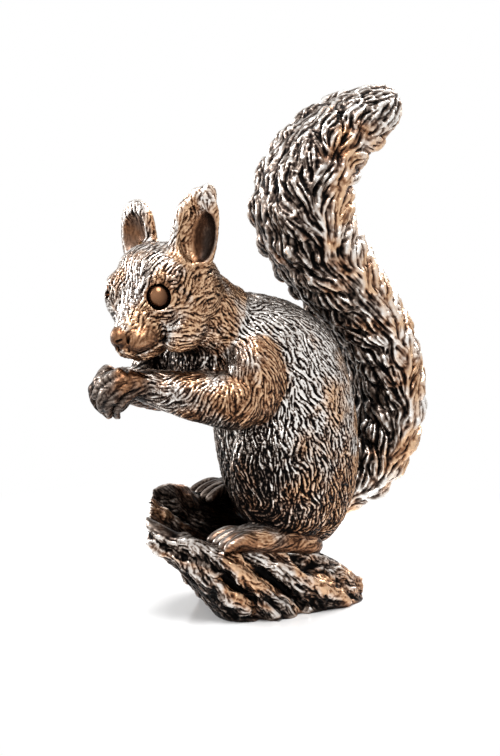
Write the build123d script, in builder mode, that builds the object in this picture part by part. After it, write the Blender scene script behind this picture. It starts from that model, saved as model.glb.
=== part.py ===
"""Squirrel figurine in patinated bronze, perched on a split log with a nut in its paws.

The figure is cast in sections, the way a small foundry casts one: the log, the torso, the head,
the ears, the forelegs, the hind feet and the tail are separate castings. Dowels line up and hold the
joints, the eyes are balls pressed into their sockets, and two studs with washers and nuts pull the
figure down onto the log from below.

Frame: +Z up, the figure faces -X and its left side is -Y. The origin lies on the log's resting face.
"""

import os
from math import cos, radians, sin

from build123d import *

# Fits and cuts
fit_gap = 0.05
overrun = 2.0

# Log: length along X, width along Y, height of the far rim at mid length
log_length = 46.0
log_width = 28.0
log_height = 22.0
log_right_end = 17.5
log_end_yaw = 32.0

# Hind feet: the near one is the figure's left, and stands lower on the log than the far one
foot_length = 25.0
foot_width = 8.6
foot_height = 6.4
foot_pitch = 9.0
foot_spread = 10.5
near_heel_x = 6.5
near_heel_height = 12.0
far_heel_x = 13.0
far_heel_height = 17.0
toe_radius = 1.35

# Torso: depth along X, width along Y, height from the lowest point to the neck joint
torso_bottom = 13.0
torso_height = 48.0
torso_width = 29.0
torso_depth = 30.0
thigh_length = 31.0
thigh_depth = 25.0
thigh_width = 15.0
thigh_lean = 12.0

# Head: reach of the nose from the middle of the skull, and where the skull stands off the neck joint
muzzle_reach = 18.4
skull_width = 21.0
skull_height = 20.8
skull_forward = 11.6
skull_side = 2.3
skull_rise = 8.2
head_turn = 22.0
head_nod = 20.0
eye_radius = 2.7
left_ear_length = 17.5
right_ear_length = 13.5
ear_width = 9.6
ear_thickness = 4.2

# Forelegs, paws and nut
arm_length = 20.0
arm_thickness = 11.6
wrist_thickness = 6.4
upper_arm_length = 19.0
upper_arm_width = 12.6
paw_spread = 4.8
far_paw_drop_angle = 5.0
paw_height = 6.2
finger_radius = 1.2
finger_reach = 5.2
hazelnut_width = 8.0
hazelnut_length = 9.0

# Tail: height from root to tip, reach behind the root, thickness and width of the plume
tail_height = 86.0
tail_reach = 18.0
tail_thickness = 18.8
tail_width = 24.0
tail_root_x = 13.0
tail_root_height = 20.0
tail_side = 2.0
# Locks of the plume: rise of one along it, width, depth, spacing, and how far its middle line is sunk
lock_rise = 7.5
lock_width = 4.6
lock_depth = 3.4
lock_pitch = 5.6
lock_sink = 0.55
lock_root_angle = 8.0
lock_tip_angle = 82.0

# Dowels, pins and studs
neck_dowel_diameter = 3.2
neck_dowel_length = 14.0
tail_dowel_diameter = 3.0
tail_dowel_length = 12.0
shoulder_dowel_diameter = 2.4
shoulder_dowel_length = 7.0
ear_pin_diameter = 1.3
ear_pin_length = 5.0
stud_diameter = 2.5
stud_length = 29.0
stud_x = -2.0
stud_spread = 8.8
stud_tip_recess = 0.6
washer_diameter = 6.0
washer_thickness = 0.5
stud_nut_width = 5.0
stud_nut_thickness = 2.0
counterbore_diameter = 6.6
counterbore_depth = 4.2

# Log cross-sections from the right end to the left: along, low, near rim, trough, far rim, half width, yaw
log_station_shares = (
    (0.00, -0.14, 0.20, 0.16, 0.22, 0.36, 0.00),
    (0.13, -0.25, 0.42, 0.34, 0.58, 0.46, 0.00),
    (0.33, -0.34, 0.59, 0.47, 0.82, 0.50, 0.00),
    (0.55, -0.28, 0.68, 0.53, 0.95, 0.52, 0.20),
    (0.76, 0.20, 0.80, 0.64, 1.11, 0.46, 0.55),
    (0.91, 0.66, 0.96, 0.82, 1.20, 0.38, 0.85),
    (1.00, 0.83, 1.06, 0.98, 1.18, 0.29, 1.00),
)
# Log outline, bark side then trough: across the half width, weights of low, near rim, trough, far rim
log_bark_shares = (
    (-0.80, 0.00, 1.00, 0.00, 0.00),
    (-1.00, 0.45, 0.55, 0.00, 0.00),
    (-0.72, 0.92, 0.08, 0.00, 0.00),
    (0.00, 1.00, 0.00, 0.00, 0.00),
    (0.74, 0.92, 0.00, 0.00, 0.08),
    (1.00, 0.42, 0.00, 0.00, 0.58),
    (0.80, 0.00, 0.00, 0.00, 1.00),
)
log_trough_shares = (
    (0.80, 0.00, 0.00, 0.00, 1.00),
    (0.46, 0.00, 0.00, 0.45, 0.55),
    (0.06, 0.00, 0.00, 1.00, 0.00),
    (-0.42, 0.00, 0.62, 0.38, 0.00),
    (-0.80, 0.00, 1.00, 0.00, 0.00),
)
# Foot from heel to ball: along, rise, half width, half height
foot_station_shares = (
    (0.02, 0.22, 0.17, 0.18),
    (0.12, 0.32, 0.36, 0.34),
    (0.36, 0.42, 0.44, 0.44),
    (0.60, 0.46, 0.49, 0.50),
    (0.76, 0.38, 0.50, 0.42),
    (0.86, 0.28, 0.44, 0.28),
)
toe_across_shares = (-0.38, -0.13, 0.13, 0.38)
# Toe from root to tip: along the foot, rise, spread, radius
toe_station_shares = (
    (0.72, 0.44, 0.90, 1.00),
    (0.86, 0.46, 1.04, 1.00),
    (0.96, 0.26, 1.16, 0.80),
    (1.00, 0.15, 1.20, 0.50),
    (1.015, 0.11, 1.22, 0.15),
)
# Trunk from rump to neck: back, up, half width, half depth
torso_station_shares = (
    (0.310, 0.000, 0.20, 0.16),
    (0.262, 0.094, 0.36, 0.33),
    (0.180, 0.290, 0.46, 0.48),
    (0.118, 0.540, 0.50, 0.51),
    (0.030, 0.760, 0.47, 0.490),
    (-0.170, 0.906, 0.41, 0.385),
    (-0.417, 1.000, 0.31, 0.287),
)
chest_place_shares = (-0.56, 0.00, 0.85)
chest_size_shares = (0.21, 0.24, 0.22)
# Haunches, near then far: back of the torso depth, side of its width, up of the haunch length
thigh_place_shares = ((-0.02, 0.29, 0.58), (0.18, 0.29, 0.52))
# Skull and muzzle from the back to the nose: along, rise, half width, half height
head_station_shares = (
    (-0.55, 0.00, 0.12, 0.12),
    (-0.50, 0.00, 0.24, 0.24),
    (-0.34, 0.00, 0.41, 0.41),
    (-0.12, 0.00, 0.49, 0.49),
    (0.08, 0.00, 0.495, 0.495),
    (0.29, -0.02, 0.45, 0.45),
    (0.53, -0.06, 0.335, 0.355),
    (0.76, -0.10, 0.24, 0.265),
    (0.92, -0.085, 0.165, 0.19),
    (1.00, -0.075, 0.09, 0.10),
)
# Neck from the joint to the middle of the skull: along, half width, half height
neck_station_shares = ((0.50, 0.43, 0.43), (1.00, 0.40, 0.40))
# Places in the head: along the muzzle reach, to the side of the skull width, up the skull height
cheek_place_shares = (0.26, 0.27, -0.21)
cheek_size_shares = (0.30, 0.215, 0.24)
jaw_place_shares = (0.52, 0.00, -0.29)
jaw_size_shares = (0.30, 0.19, 0.15)
eye_place_shares = (0.450, 0.228, 0.212)
ear_place_shares = (0.00, 0.31, 0.27)
ear_axis_shares = (-0.37, 0.145, 0.916)
left_ear_facing_shares = (0.85, 0.53, 0.00)
right_ear_facing_shares = (1.00, 0.00, 0.00)
# Ear from root to tip: along, half width, half thickness
ear_station_shares = (
    (-0.14, 0.34, 0.50),
    (0.10, 0.42, 0.50),
    (0.35, 0.50, 0.48),
    (0.60, 0.49, 0.40),
    (0.82, 0.41, 0.32),
    (0.95, 0.25, 0.21),
    (1.00, 0.10, 0.10),
)
ear_hollow_place_shares = (0.48, 0.44)
ear_hollow_size_shares = (0.35, 0.54, 0.36)
ear_pin_place_shares = (0.12, -0.25)
# Upper arm in the torso: forward of the depth, side of the width, up the height
upper_arm_place_shares = (-0.30, 0.345, 0.79)
upper_arm_depth_share = 0.80
elbow_place_shares = (-0.45, 0.350, 0.70)
# Forearm from elbow to wrist: along, thickness between the wrist's and the arm's
forearm_station_shares = (
    (-0.29, -0.75),
    (-0.25, -0.15),
    (-0.15, 0.62),
    (0.00, 1.00),
    (0.30, 0.84),
    (0.60, 0.48),
    (0.85, 0.10),
    (1.00, 0.00),
)
forearm_reach_shares = (0.90, 0.225)
# Palm: how far beyond the wrist its middle is, half thickness, half height, half length
palm_place_share = 0.50
palm_size_shares = (0.34, 0.46, 0.68)
finger_level_shares = (0.38, 0.13, -0.13, -0.37)
# Finger from knuckle to tip: along, outward, drop, spread of the levels, radius
finger_station_shares = (
    (0.60, 0.14, 0.00, 1.00, 1.00),
    (1.25, 0.11, 0.09, 0.92, 1.00),
    (1.55, -0.15, 0.24, 0.80, 0.82),
    (1.62, -0.40, 0.35, 0.72, 0.55),
    (1.62, -0.47, 0.38, 0.70, 0.18),
)
hazelnut_place_shares = (0.95, -0.32)
# Tail from root to tip: back, up, half thickness, half width
tail_station_shares = (
    (0.00, 0.000, 0.25, 0.24),
    (0.44, 0.040, 0.29, 0.32),
    (0.83, 0.145, 0.32, 0.42),
    (0.89, 0.302, 0.34, 0.46),
    (0.55, 0.465, 0.38, 0.48),
    (0.03, 0.610, 0.45, 0.50),
    (-0.25, 0.744, 0.51, 0.48),
    (-0.03, 0.866, 0.425, 0.42),
    (0.40, 0.938, 0.34, 0.34),
    (0.80, 0.976, 0.27, 0.25),
    (0.95, 0.988, 0.19, 0.17),
    (1.02, 0.993, 0.08, 0.08),
)
tail_dowel_place_share = 0.56
# Lock from root to tip: along its rise, turn towards the edge, size
lock_station_shares = (
    (0.00, 0.06, 0.15),
    (0.22, 0.26, 0.75),
    (0.55, 0.58, 1.00),
    (0.85, 0.86, 0.72),
    (1.00, 0.98, 0.16),
)
lock_stagger_shares = (0.00, 0.25)

ellipsoid_latitudes = range(-80, 81, 20)
oval_arc_size = 120
oval_arc_starts = (0, 120, 240)
near, far = -1, 1
sides = (near, far)
lateral = Vector(0, 1, 0)
vertical = Vector(0, 0, 1)


def section_planes(points, across):
    """Planes square to a spine at its points, with x along the direction across it."""
    planes = []
    last = len(points) - 1
    for place, point in enumerate(points):
        along = points[min(place + 1, last)] - points[max(place - 1, 0)]
        planes.append(Plane(origin=point, x_dir=across, z_dir=along))
    return planes


def taper(planes, radii, mode=Mode.ADD):
    """Adds or cuts a loft through ellipses on the planes, in the part that is being built."""
    sections = []
    for plane, (across, deep) in zip(planes, radii):
        with BuildSketch(plane) as section:
            with BuildLine():
                for start in oval_arc_starts:
                    EllipticalCenterArc((0, 0), across, deep, start, arc_size=oval_arc_size)
            make_face()
        sections.append(section.sketch)
    loft(sections, mode=mode)


def ellipsoid(plane, radii, mode=Mode.ADD):
    """Adds or cuts an ellipsoid with its axes along the plane's, lofted along z."""
    across, deep, tall = radii
    planes, sections = [], []
    for latitude in ellipsoid_latitudes:
        angle = radians(latitude)
        planes.append(plane.offset(tall * sin(angle)))
        sections.append((across * cos(angle), deep * cos(angle)))
    taper(planes, sections, mode)


def digit(points, radii, across):
    """Adds a finger or toe, rounded off by its last small stations."""
    taper(section_planes(points, across), [(radius, radius) for radius in radii])


def rod(plane, diameter, length, mode=Mode.ADD):
    """Adds or cuts a round rod whose middle is at the plane's origin, along its z."""
    with Locations(plane):
        Cylinder(diameter / 2, length, mode=mode)


def bore(plane, diameter, length):
    """Cuts the hole for such a rod, with the fit gap round it and at its ends."""
    rod(plane, diameter + 2 * fit_gap, length + 2 * fit_gap, Mode.SUBTRACT)


# Stud places, shared by the log, the feet, the torso and the fasteners
stud_planes = [
    Plane(origin=(stud_x, side * stud_spread, stud_tip_recess + stud_length / 2)) for side in sides
]
washer_planes = [Plane(origin=(stud_x, side * stud_spread, counterbore_depth)) for side in sides]


def log_outline(side_shares, levels, half_width):
    """Points of one side of a log cross-section, across it and up."""
    points = []
    for across, *weights in side_shares:
        level = sum(weight * height for weight, height in zip(weights, levels))
        points.append((across * half_width * log_width, level * log_height))
    return points


# Log: a trough lofted along X, cut flat underneath
with BuildPart() as log_base:
    for along, low, near_rim, trough, far_rim, half_width, yaw in log_station_shares:
        turn = radians(log_end_yaw * yaw)
        station = Plane(
            origin=(log_right_end - along * log_length, 0, 0),
            x_dir=(sin(turn), cos(turn), 0),
            z_dir=(cos(turn), -sin(turn), 0),
        )
        levels = (low, near_rim, trough, far_rim)
        with BuildSketch(station):
            with BuildLine():
                for side_shares in (log_bark_shares, log_trough_shares):
                    Spline(*log_outline(side_shares, levels, half_width))
            make_face()
    loft()
    split(bisect_by=Plane.XY, keep=Keep.TOP)
    log_form = log_base.part
    for stud_plane, washer_plane in zip(stud_planes, washer_planes):
        bore(stud_plane, stud_diameter, stud_length)
        with Locations(washer_plane):
            Cylinder(
                counterbore_diameter / 2,
                counterbore_depth + overrun,
                align=(Align.CENTER, Align.CENTER, Align.MAX),
                mode=Mode.SUBTRACT,
            )
log_base.part.label = "log_base"


def foot_plane(side):
    """Sole plane of a foot: origin under the heel, x towards the toes, z off the sole."""
    pitch = radians(foot_pitch)
    heel_x, heel_height = (near_heel_x, near_heel_height) if side == near else (far_heel_x, far_heel_height)
    return Plane(
        origin=(heel_x, side * foot_spread, heel_height),
        x_dir=(-cos(pitch), 0, sin(pitch)),
        z_dir=(sin(pitch), 0, cos(pitch)),
    )


def foot_form(side):
    """Foot with four toes, before it is let into the log."""
    sole = foot_plane(side)
    with BuildPart() as form:
        spine = [
            sole.from_local_coords((along * foot_length, 0, rise * foot_height))
            for along, rise, _, _ in foot_station_shares
        ]
        radii = [(width * foot_width, height * foot_height) for _, _, width, height in foot_station_shares]
        taper(section_planes(spine, lateral), radii)
        for across in toe_across_shares:
            joints = [
                sole.from_local_coords(
                    Vector(along * foot_length, across * spread * foot_width, rise * foot_height)
                )
                for along, rise, spread, _ in toe_station_shares
            ]
            digit(joints, [share * toe_radius for *_, share in toe_station_shares], lateral)
    return form.part


foot_forms = [foot_form(side) for side in sides]
hind_feet = []
for name, form, stud_plane in zip(("left_hind_foot", "right_hind_foot"), foot_forms, stud_planes):
    with BuildPart() as hind_foot:
        add(form)
        add(log_form, mode=Mode.SUBTRACT)
        bore(stud_plane, stud_diameter, stud_length)
    hind_foot.part.label = name
    hind_feet.append(hind_foot.part)

# Torso: trunk and haunches, seated on the feet and the log
torso_spine = [
    Vector(back * torso_depth, 0, torso_bottom + up * torso_height) for back, up, _, _ in torso_station_shares
]
torso_planes = section_planes(torso_spine, lateral)
torso_radii = [(width * torso_width, depth * torso_depth) for _, _, width, depth in torso_station_shares]
neck_plane, neck_radii = torso_planes[-1], torso_radii[-1]
tail_root = Vector(tail_root_x, tail_side, tail_root_height)
tail_spine = [
    tail_root + Vector(back * tail_reach, 0, up * tail_height) for back, up, _, _ in tail_station_shares
]
tail_dowel_plane = Plane(
    origin=tail_spine[0] + (tail_spine[1] - tail_spine[0]) * tail_dowel_place_share,
    z_dir=tail_spine[1] - tail_spine[0],
)


def torso_place(shares, side):
    """Point in the torso from shares of its depth, width and height."""
    back, across, up = shares
    return Vector(back * torso_depth, side * across * torso_width, torso_bottom + up * torso_height)


shoulder_planes = [
    Plane(origin=torso_place(upper_arm_place_shares, side), x_dir=(1, 0, 0), z_dir=(0, side, 0))
    for side in sides
]

with BuildPart() as torso:
    taper(torso_planes, torso_radii)
    ellipsoid(
        Plane(origin=torso_place(chest_place_shares, near)),
        tuple(share * torso_width for share in chest_size_shares),
    )
    for side, (back, across, up) in zip(sides, thigh_place_shares):
        lean = radians(thigh_lean)
        ellipsoid(
            Plane(
                origin=(
                    back * torso_depth,
                    side * across * torso_width,
                    foot_plane(side).origin.Z + up * thigh_length,
                ),
                x_dir=(cos(lean), 0, sin(lean)),
                z_dir=(-sin(lean), 0, cos(lean)),
            ),
            (thigh_depth / 2, thigh_width / 2, thigh_length / 2),
        )
    for form in (*foot_forms, log_form):
        add(form, mode=Mode.SUBTRACT)
    torso_form = torso.part
    for plane in stud_planes:
        bore(plane, stud_diameter, stud_length)
    for plane in shoulder_planes:
        bore(plane, shoulder_dowel_diameter, shoulder_dowel_length)
    bore(neck_plane, neck_dowel_diameter, neck_dowel_length)
    bore(tail_dowel_plane, tail_dowel_diameter, tail_dowel_length)
torso.part.label = "torso"

# Head: one taper from the neck joint over the skull to the nose, with cheeks and a jaw
turn, nod = radians(head_turn), radians(head_nod)
face = Vector(-cos(turn) * cos(nod), -sin(turn) * cos(nod), -sin(nod))
face_left = Vector(sin(turn), -cos(turn), 0)
skull_centre = neck_plane.origin + Vector(-skull_forward, -skull_side, skull_rise)
head_plane = Plane(origin=skull_centre, x_dir=face, z_dir=face.cross(face_left))


head_left, head_right = 1, -1
head_sides = (head_left, head_right)


def head_place(shares, side=head_left):
    """Point in the head from shares of its reach, width and height."""
    along, across, up = shares
    return head_plane.from_local_coords(
        Vector(along * muzzle_reach, side * across * skull_width, up * skull_height)
    )


def head_direction(shares, side):
    """Direction in the head: forward, to the side and up."""
    along, across, up = shares
    return head_plane.x_dir * along + head_plane.y_dir * (side * across) + head_plane.z_dir * up


def ear_plane(side):
    """Plane of an ear: origin at its root, z towards its tip, y out of its open face."""
    axis = head_direction(ear_axis_shares, side)
    facing_shares = left_ear_facing_shares if side == head_left else right_ear_facing_shares
    facing = head_direction(facing_shares, side)
    return Plane(origin=head_place(ear_place_shares, side), x_dir=facing.cross(axis), z_dir=axis)


def ear_pin_plane(side):
    """Middle of an ear's pin, in the thick back wall of the ear's root."""
    ear = ear_plane(side)
    along, behind = ear_pin_place_shares
    middle = ear.from_local_coords(Vector(0, behind * ear_thickness, along * left_ear_length))
    return Plane(origin=middle, z_dir=ear.z_dir)


eye_places = [head_place(eye_place_shares, side) for side in head_sides]
ear_pin_planes = [ear_pin_plane(side) for side in head_sides]

with BuildPart() as head:
    skull_spine = [head_place((along, 0, rise)) for along, rise, _, _ in head_station_shares]
    skull_radii = [
        (width * skull_width, height * skull_height) for _, _, width, height in head_station_shares
    ]
    taper(section_planes(skull_spine, -face_left), skull_radii)
    neck_run = skull_centre - neck_plane.origin
    neck_planes = [neck_plane]
    neck_sections = [neck_radii]
    for along, half_width, half_height in neck_station_shares:
        neck_planes.append(Plane(origin=neck_plane.origin + neck_run * along, x_dir=lateral, z_dir=neck_run))
        neck_sections.append((half_width * skull_width, half_height * skull_height))
    taper(neck_planes, neck_sections)
    for side in head_sides:
        ellipsoid(
            Plane(origin=head_place(cheek_place_shares, side), x_dir=face, z_dir=head_plane.z_dir),
            tuple(share * skull_width for share in cheek_size_shares),
        )
    ellipsoid(
        Plane(origin=head_place(jaw_place_shares), x_dir=face, z_dir=head_plane.z_dir),
        tuple(share * skull_width for share in jaw_size_shares),
    )
    add(torso_form, mode=Mode.SUBTRACT)
    head_form = head.part
    with Locations(*eye_places):
        Sphere(eye_radius + fit_gap, mode=Mode.SUBTRACT)
    for plane in ear_pin_planes:
        bore(plane, ear_pin_diameter, ear_pin_length)
    bore(neck_plane, neck_dowel_diameter, neck_dowel_length)
head.part.label = "head"

eyes = []
for name, place in zip(("left_eye", "right_eye"), eye_places):
    with BuildPart(Plane(origin=place)) as eye:
        Sphere(eye_radius)
    eye.part.label = name
    eyes.append(eye.part)

# Ears: cupped leaves seated on the skull
ears = []
ear_lengths = (left_ear_length, right_ear_length)
ear_names = ("left_ear", "right_ear")
for name, side, ear_length, pin_plane in zip(ear_names, head_sides, ear_lengths, ear_pin_planes):
    leaf = ear_plane(side)
    along, outward = ear_hollow_place_shares
    hollow = leaf.from_local_coords(Vector(0, outward * ear_thickness, along * ear_length))
    half_width, half_depth, half_length = ear_hollow_size_shares
    with BuildPart() as ear:
        stations = [
            Plane(origin=leaf.origin + leaf.z_dir * (along * ear_length), x_dir=leaf.x_dir, z_dir=leaf.z_dir)
            for along, _, _ in ear_station_shares
        ]
        taper(stations, [(w * ear_width, t * ear_thickness) for _, w, t in ear_station_shares])
        ellipsoid(
            Plane(origin=hollow, x_dir=leaf.x_dir, z_dir=leaf.z_dir),
            (half_width * ear_width, half_depth * ear_thickness, half_length * ear_length),
            Mode.SUBTRACT,
        )
        add(head_form, mode=Mode.SUBTRACT)
        bore(pin_plane, ear_pin_diameter, ear_pin_length)
    ear.part.label = name
    ears.append(ear.part)

# Forelegs: upper arm on the torso, forearm, and a paw whose fingers close on the nut
elbow_x = elbow_place_shares[0] * torso_depth
wrist_x = elbow_x - forearm_reach_shares[0] * arm_length
wrist_height = torso_place(elbow_place_shares, far).Z + forearm_reach_shares[1] * arm_length
hazelnut_plane = Plane(
    origin=(
        wrist_x - hazelnut_place_shares[0] * finger_reach,
        0,
        wrist_height + hazelnut_place_shares[1] * paw_height,
    )
)
with BuildPart() as hazelnut:
    ellipsoid(hazelnut_plane, (hazelnut_width / 2, hazelnut_width / 2, hazelnut_length / 2))
hazelnut.part.label = "hazelnut"

elbow = torso_place(elbow_place_shares, far)
wrist = Vector(wrist_x, paw_spread, wrist_height)
with BuildPart() as foreleg_form:
    ellipsoid(
        Plane(origin=torso_place(upper_arm_place_shares, far)),
        (upper_arm_width / 2, upper_arm_depth_share * upper_arm_width / 2, upper_arm_length / 2),
    )
    forearm_spine = [elbow + (wrist - elbow) * along for along, _ in forearm_station_shares]
    forearm_radii = []
    for _, share in forearm_station_shares:
        radius = (wrist_thickness + share * (arm_thickness - wrist_thickness)) / 2
        forearm_radii.append((radius, radius))
    taper(section_planes(forearm_spine, lateral), forearm_radii)
    ellipsoid(
        Plane(origin=wrist - Vector(palm_place_share * finger_reach, 0, 0), x_dir=lateral, z_dir=(-1, 0, 0)),
        tuple(share * paw_height for share in palm_size_shares),
    )
    for level in finger_level_shares:
        joints = [
            wrist + Vector(-along * finger_reach, outward * paw_height, (level * spread - drop) * paw_height)
            for along, outward, drop, spread, _ in finger_station_shares
        ]
        digit(joints, [share * finger_radius for *_, share in finger_station_shares], vertical)
    low_foreleg = foreleg_form.part.rotate(Axis(shoulder_planes[1].origin, lateral), -far_paw_drop_angle)
    add(hazelnut.part, mode=Mode.SUBTRACT)

with BuildPart() as left_foreleg:
    mirror(foreleg_form.part, about=Plane.XZ)
    add(torso_form, mode=Mode.SUBTRACT)
    bore(shoulder_planes[0], shoulder_dowel_diameter, shoulder_dowel_length)
left_foreleg.part.label = "left_foreleg"

with BuildPart() as right_foreleg:
    add(low_foreleg)
    add(hazelnut.part, mode=Mode.SUBTRACT)
    add(torso_form, mode=Mode.SUBTRACT)
    bore(shoulder_planes[1], shoulder_dowel_diameter, shoulder_dowel_length)
right_foreleg.part.label = "right_foreleg"

# Tail: a plume that leaves the rump, rises behind the back and curls away at the tip
tail_line = Spline(*tail_spine)
tail_runs = [tail_line.param_at_point(point) for point in tail_spine]


def tail_radii(run):
    """Half thickness and half width of the plume at a share of its length."""
    place = max(index for index, start in enumerate(tail_runs[:-1]) if start <= run)
    share = (run - tail_runs[place]) / (tail_runs[place + 1] - tail_runs[place])
    (*_, thick, wide), (*_, next_thick, next_wide) = tail_station_shares[place : place + 2]
    half_thickness = (thick + share * (next_thick - thick)) * tail_thickness
    half_width = (wide + share * (next_wide - wide)) * tail_width
    return half_thickness, half_width


def tail_lock(start, side, edge):
    """Lock of hair that rises from the middle of one side of the plume to its front or back edge."""
    behind = lateral.cross(tail_line % start)
    joints, radii = [], []
    for along, turn, size in lock_station_shares:
        run = min(start + along * lock_rise / tail_line.length, 1)
        angle = edge * radians(lock_root_angle + turn * (lock_tip_angle - lock_root_angle))
        half_thickness, half_width = tail_radii(run)
        outward = lateral.cross(tail_line % run) * ((half_thickness - lock_sink) * sin(angle))
        sideways = lateral * (side * (half_width - lock_sink) * cos(angle))
        joints.append(tail_line @ run + outward + sideways)
        radii.append((size * lock_width / 2, size * lock_depth / 2))
    across = (joints[-1] - joints[0]).cross(lateral * side + behind * edge)
    with BuildPart() as lock:
        taper(section_planes(joints, across), radii)
    return lock.part


front, back = -1, 1
locks = []
for tier in range(1, int(tail_line.length / lock_pitch) - 1):
    for edge, stagger in zip((front, back), lock_stagger_shares):
        start = (tier + stagger) * lock_pitch / tail_line.length
        locks += [tail_lock(start, side, edge) for side in sides]

with BuildPart() as tail:
    plume_radii = [(width * tail_width, depth * tail_thickness) for _, _, depth, width in tail_station_shares]
    taper(section_planes(tail_spine, lateral), plume_radii)
    add(locks)
    add(torso_form, mode=Mode.SUBTRACT)
    add(log_form, mode=Mode.SUBTRACT)
    bore(tail_dowel_plane, tail_dowel_diameter, tail_dowel_length)
tail.part.label = "tail"

# Dowels, pins, studs, washers and nuts
with BuildPart() as neck_dowel:
    rod(neck_plane, neck_dowel_diameter, neck_dowel_length)
neck_dowel.part.label = "neck_dowel"

with BuildPart() as tail_dowel:
    rod(tail_dowel_plane, tail_dowel_diameter, tail_dowel_length)
tail_dowel.part.label = "tail_dowel"

with BuildPart() as shoulder_dowels:
    for plane in shoulder_planes:
        rod(plane, shoulder_dowel_diameter, shoulder_dowel_length)
shoulder_dowels.part.label = "shoulder_dowels"

with BuildPart() as ear_pins:
    for plane in ear_pin_planes:
        rod(plane, ear_pin_diameter, ear_pin_length)
ear_pins.part.label = "ear_pins"

with BuildPart() as foot_studs:
    for plane in stud_planes:
        rod(plane, stud_diameter, stud_length)
foot_studs.part.label = "foot_studs"

hang_down = (Align.CENTER, Align.CENTER, Align.MAX)
with BuildPart() as stud_washers:
    with Locations(*washer_planes):
        Cylinder(washer_diameter / 2, washer_thickness, align=hang_down)
    for plane in stud_planes:
        bore(plane, stud_diameter, stud_length)
stud_washers.part.label = "stud_washers"

with BuildPart() as stud_nuts:
    for plane in washer_planes:
        with BuildSketch(plane.offset(-washer_thickness)):
            RegularPolygon(stud_nut_width / 2, 6, major_radius=False)
        extrude(amount=-stud_nut_thickness)
    for plane in stud_planes:
        bore(plane, stud_diameter, stud_length)
stud_nuts.part.label = "stud_nuts"

pieces = (
    log_base.part,
    *hind_feet,
    torso.part,
    head.part,
    *eyes,
    *ears,
    hazelnut.part,
    left_foreleg.part,
    right_foreleg.part,
    tail.part,
    neck_dowel.part,
    tail_dowel.part,
    shoulder_dowels.part,
    ear_pins.part,
    foot_studs.part,
    stud_washers.part,
    stud_nuts.part,
)
os.makedirs("parts", exist_ok=True)
for piece in pieces:
    export_step(piece, f"parts/{piece.label}.step")
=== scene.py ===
"""Table-top bronze of a squirrel on a split log, dressed over its packed castings.

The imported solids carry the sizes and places. Each group of castings is turned into a field of signed
distances, blended and modelled like wax with small brushes, skinned, tooled with fur or bark, and cut
back into one piece per casting. All sizes are in millimetres until a mesh is made.
"""

import logging
import math
from dataclasses import dataclass, field
from enum import Enum, IntEnum
from typing import Iterable, Iterator, Sequence

import bpy
import numpy as np
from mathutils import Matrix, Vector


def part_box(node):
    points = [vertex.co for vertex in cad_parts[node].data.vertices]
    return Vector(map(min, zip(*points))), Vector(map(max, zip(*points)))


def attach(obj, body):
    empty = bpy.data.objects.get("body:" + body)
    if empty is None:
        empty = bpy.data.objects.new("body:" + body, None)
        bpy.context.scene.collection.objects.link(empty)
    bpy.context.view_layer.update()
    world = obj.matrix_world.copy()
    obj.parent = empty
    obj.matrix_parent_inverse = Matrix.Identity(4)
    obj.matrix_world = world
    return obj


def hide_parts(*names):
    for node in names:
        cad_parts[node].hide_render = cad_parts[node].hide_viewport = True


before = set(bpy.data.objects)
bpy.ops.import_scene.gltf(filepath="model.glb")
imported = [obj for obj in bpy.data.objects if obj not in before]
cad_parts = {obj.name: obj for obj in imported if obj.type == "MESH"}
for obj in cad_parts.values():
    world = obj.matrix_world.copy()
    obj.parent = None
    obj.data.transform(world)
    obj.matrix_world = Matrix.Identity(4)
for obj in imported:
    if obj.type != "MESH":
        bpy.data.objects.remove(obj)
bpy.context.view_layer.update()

import openvdb as vdb
from mathutils import Vector
from mathutils.kdtree import KDTree

log = logging.getLogger("squirrel")
Array = np.ndarray
MM = 0.001
BODY = "root"
SEED = 20260


class Slot(Enum):
    """Material slots of the record."""

    PATINA = "patinated_bronze"
    POLISHED = "polished_bronze"


class Press(Enum):
    """What a modelling brush does to the wax."""

    ADD = 1
    CARVE = 2


class Casting(IntEnum):
    """Castings of the figure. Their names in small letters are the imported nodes."""

    TORSO = 0
    HEAD = 1
    LEFT_EAR = 2
    RIGHT_EAR = 3
    LEFT_FORELEG = 4
    RIGHT_FORELEG = 5
    LEFT_HIND_FOOT = 6
    RIGHT_HIND_FOOT = 7


def linear(hex_colour: str) -> tuple[float, float, float, float]:
    """Turns an sRGB hex colour into linear RGBA.

    Args:
        hex_colour: six hex digits after a hash.

    Returns:
        The linear colour with full alpha.
    """
    channels = [int(hex_colour[i : i + 2], 16) / 255 for i in (1, 3, 5)]
    return (*[c / 12.92 if c <= 0.04045 else ((c + 0.055) / 1.055) ** 2.4 for c in channels], 1.0)


def new_material(name: str) -> tuple[bpy.types.Material, bpy.types.NodeTree, bpy.types.Node]:
    """Makes a node material and returns it with its tree and its surface shader."""
    material = bpy.data.materials.new(name)
    material.use_nodes = True
    return material, material.node_tree, material.node_tree.nodes["Principled BSDF"]


def link_object(name: str, data: bpy.types.ID) -> bpy.types.Object:
    """Adds an object with the data to the scene."""
    thing = bpy.data.objects.new(name, data)
    bpy.context.scene.collection.objects.link(thing)
    return thing


def add_node(
    tree: bpy.types.NodeTree, kind: str, settings: dict | None = None, **links: object
) -> bpy.types.Node:
    """Adds a node with its settings, and its inputs as values or links.

    Args:
        tree: node tree that takes the node.
        kind: Blender's node type name.
        settings: attributes of the node.
        links: input names with underscores for spaces, or i and a number, and a socket or value for each.

    Returns:
        The new node.
    """
    node = tree.nodes.new(kind)
    for name, value in (settings or {}).items():
        setattr(node, name, value)
    for name, value in links.items():
        key = int(name[1:]) if name[0] == "i" and name[1:].isdigit() else name.replace("_", " ")
        if isinstance(value, bpy.types.NodeSocket):
            tree.links.new(value, node.inputs[key])
        else:
            node.inputs[key].default_value = value
    return node


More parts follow.
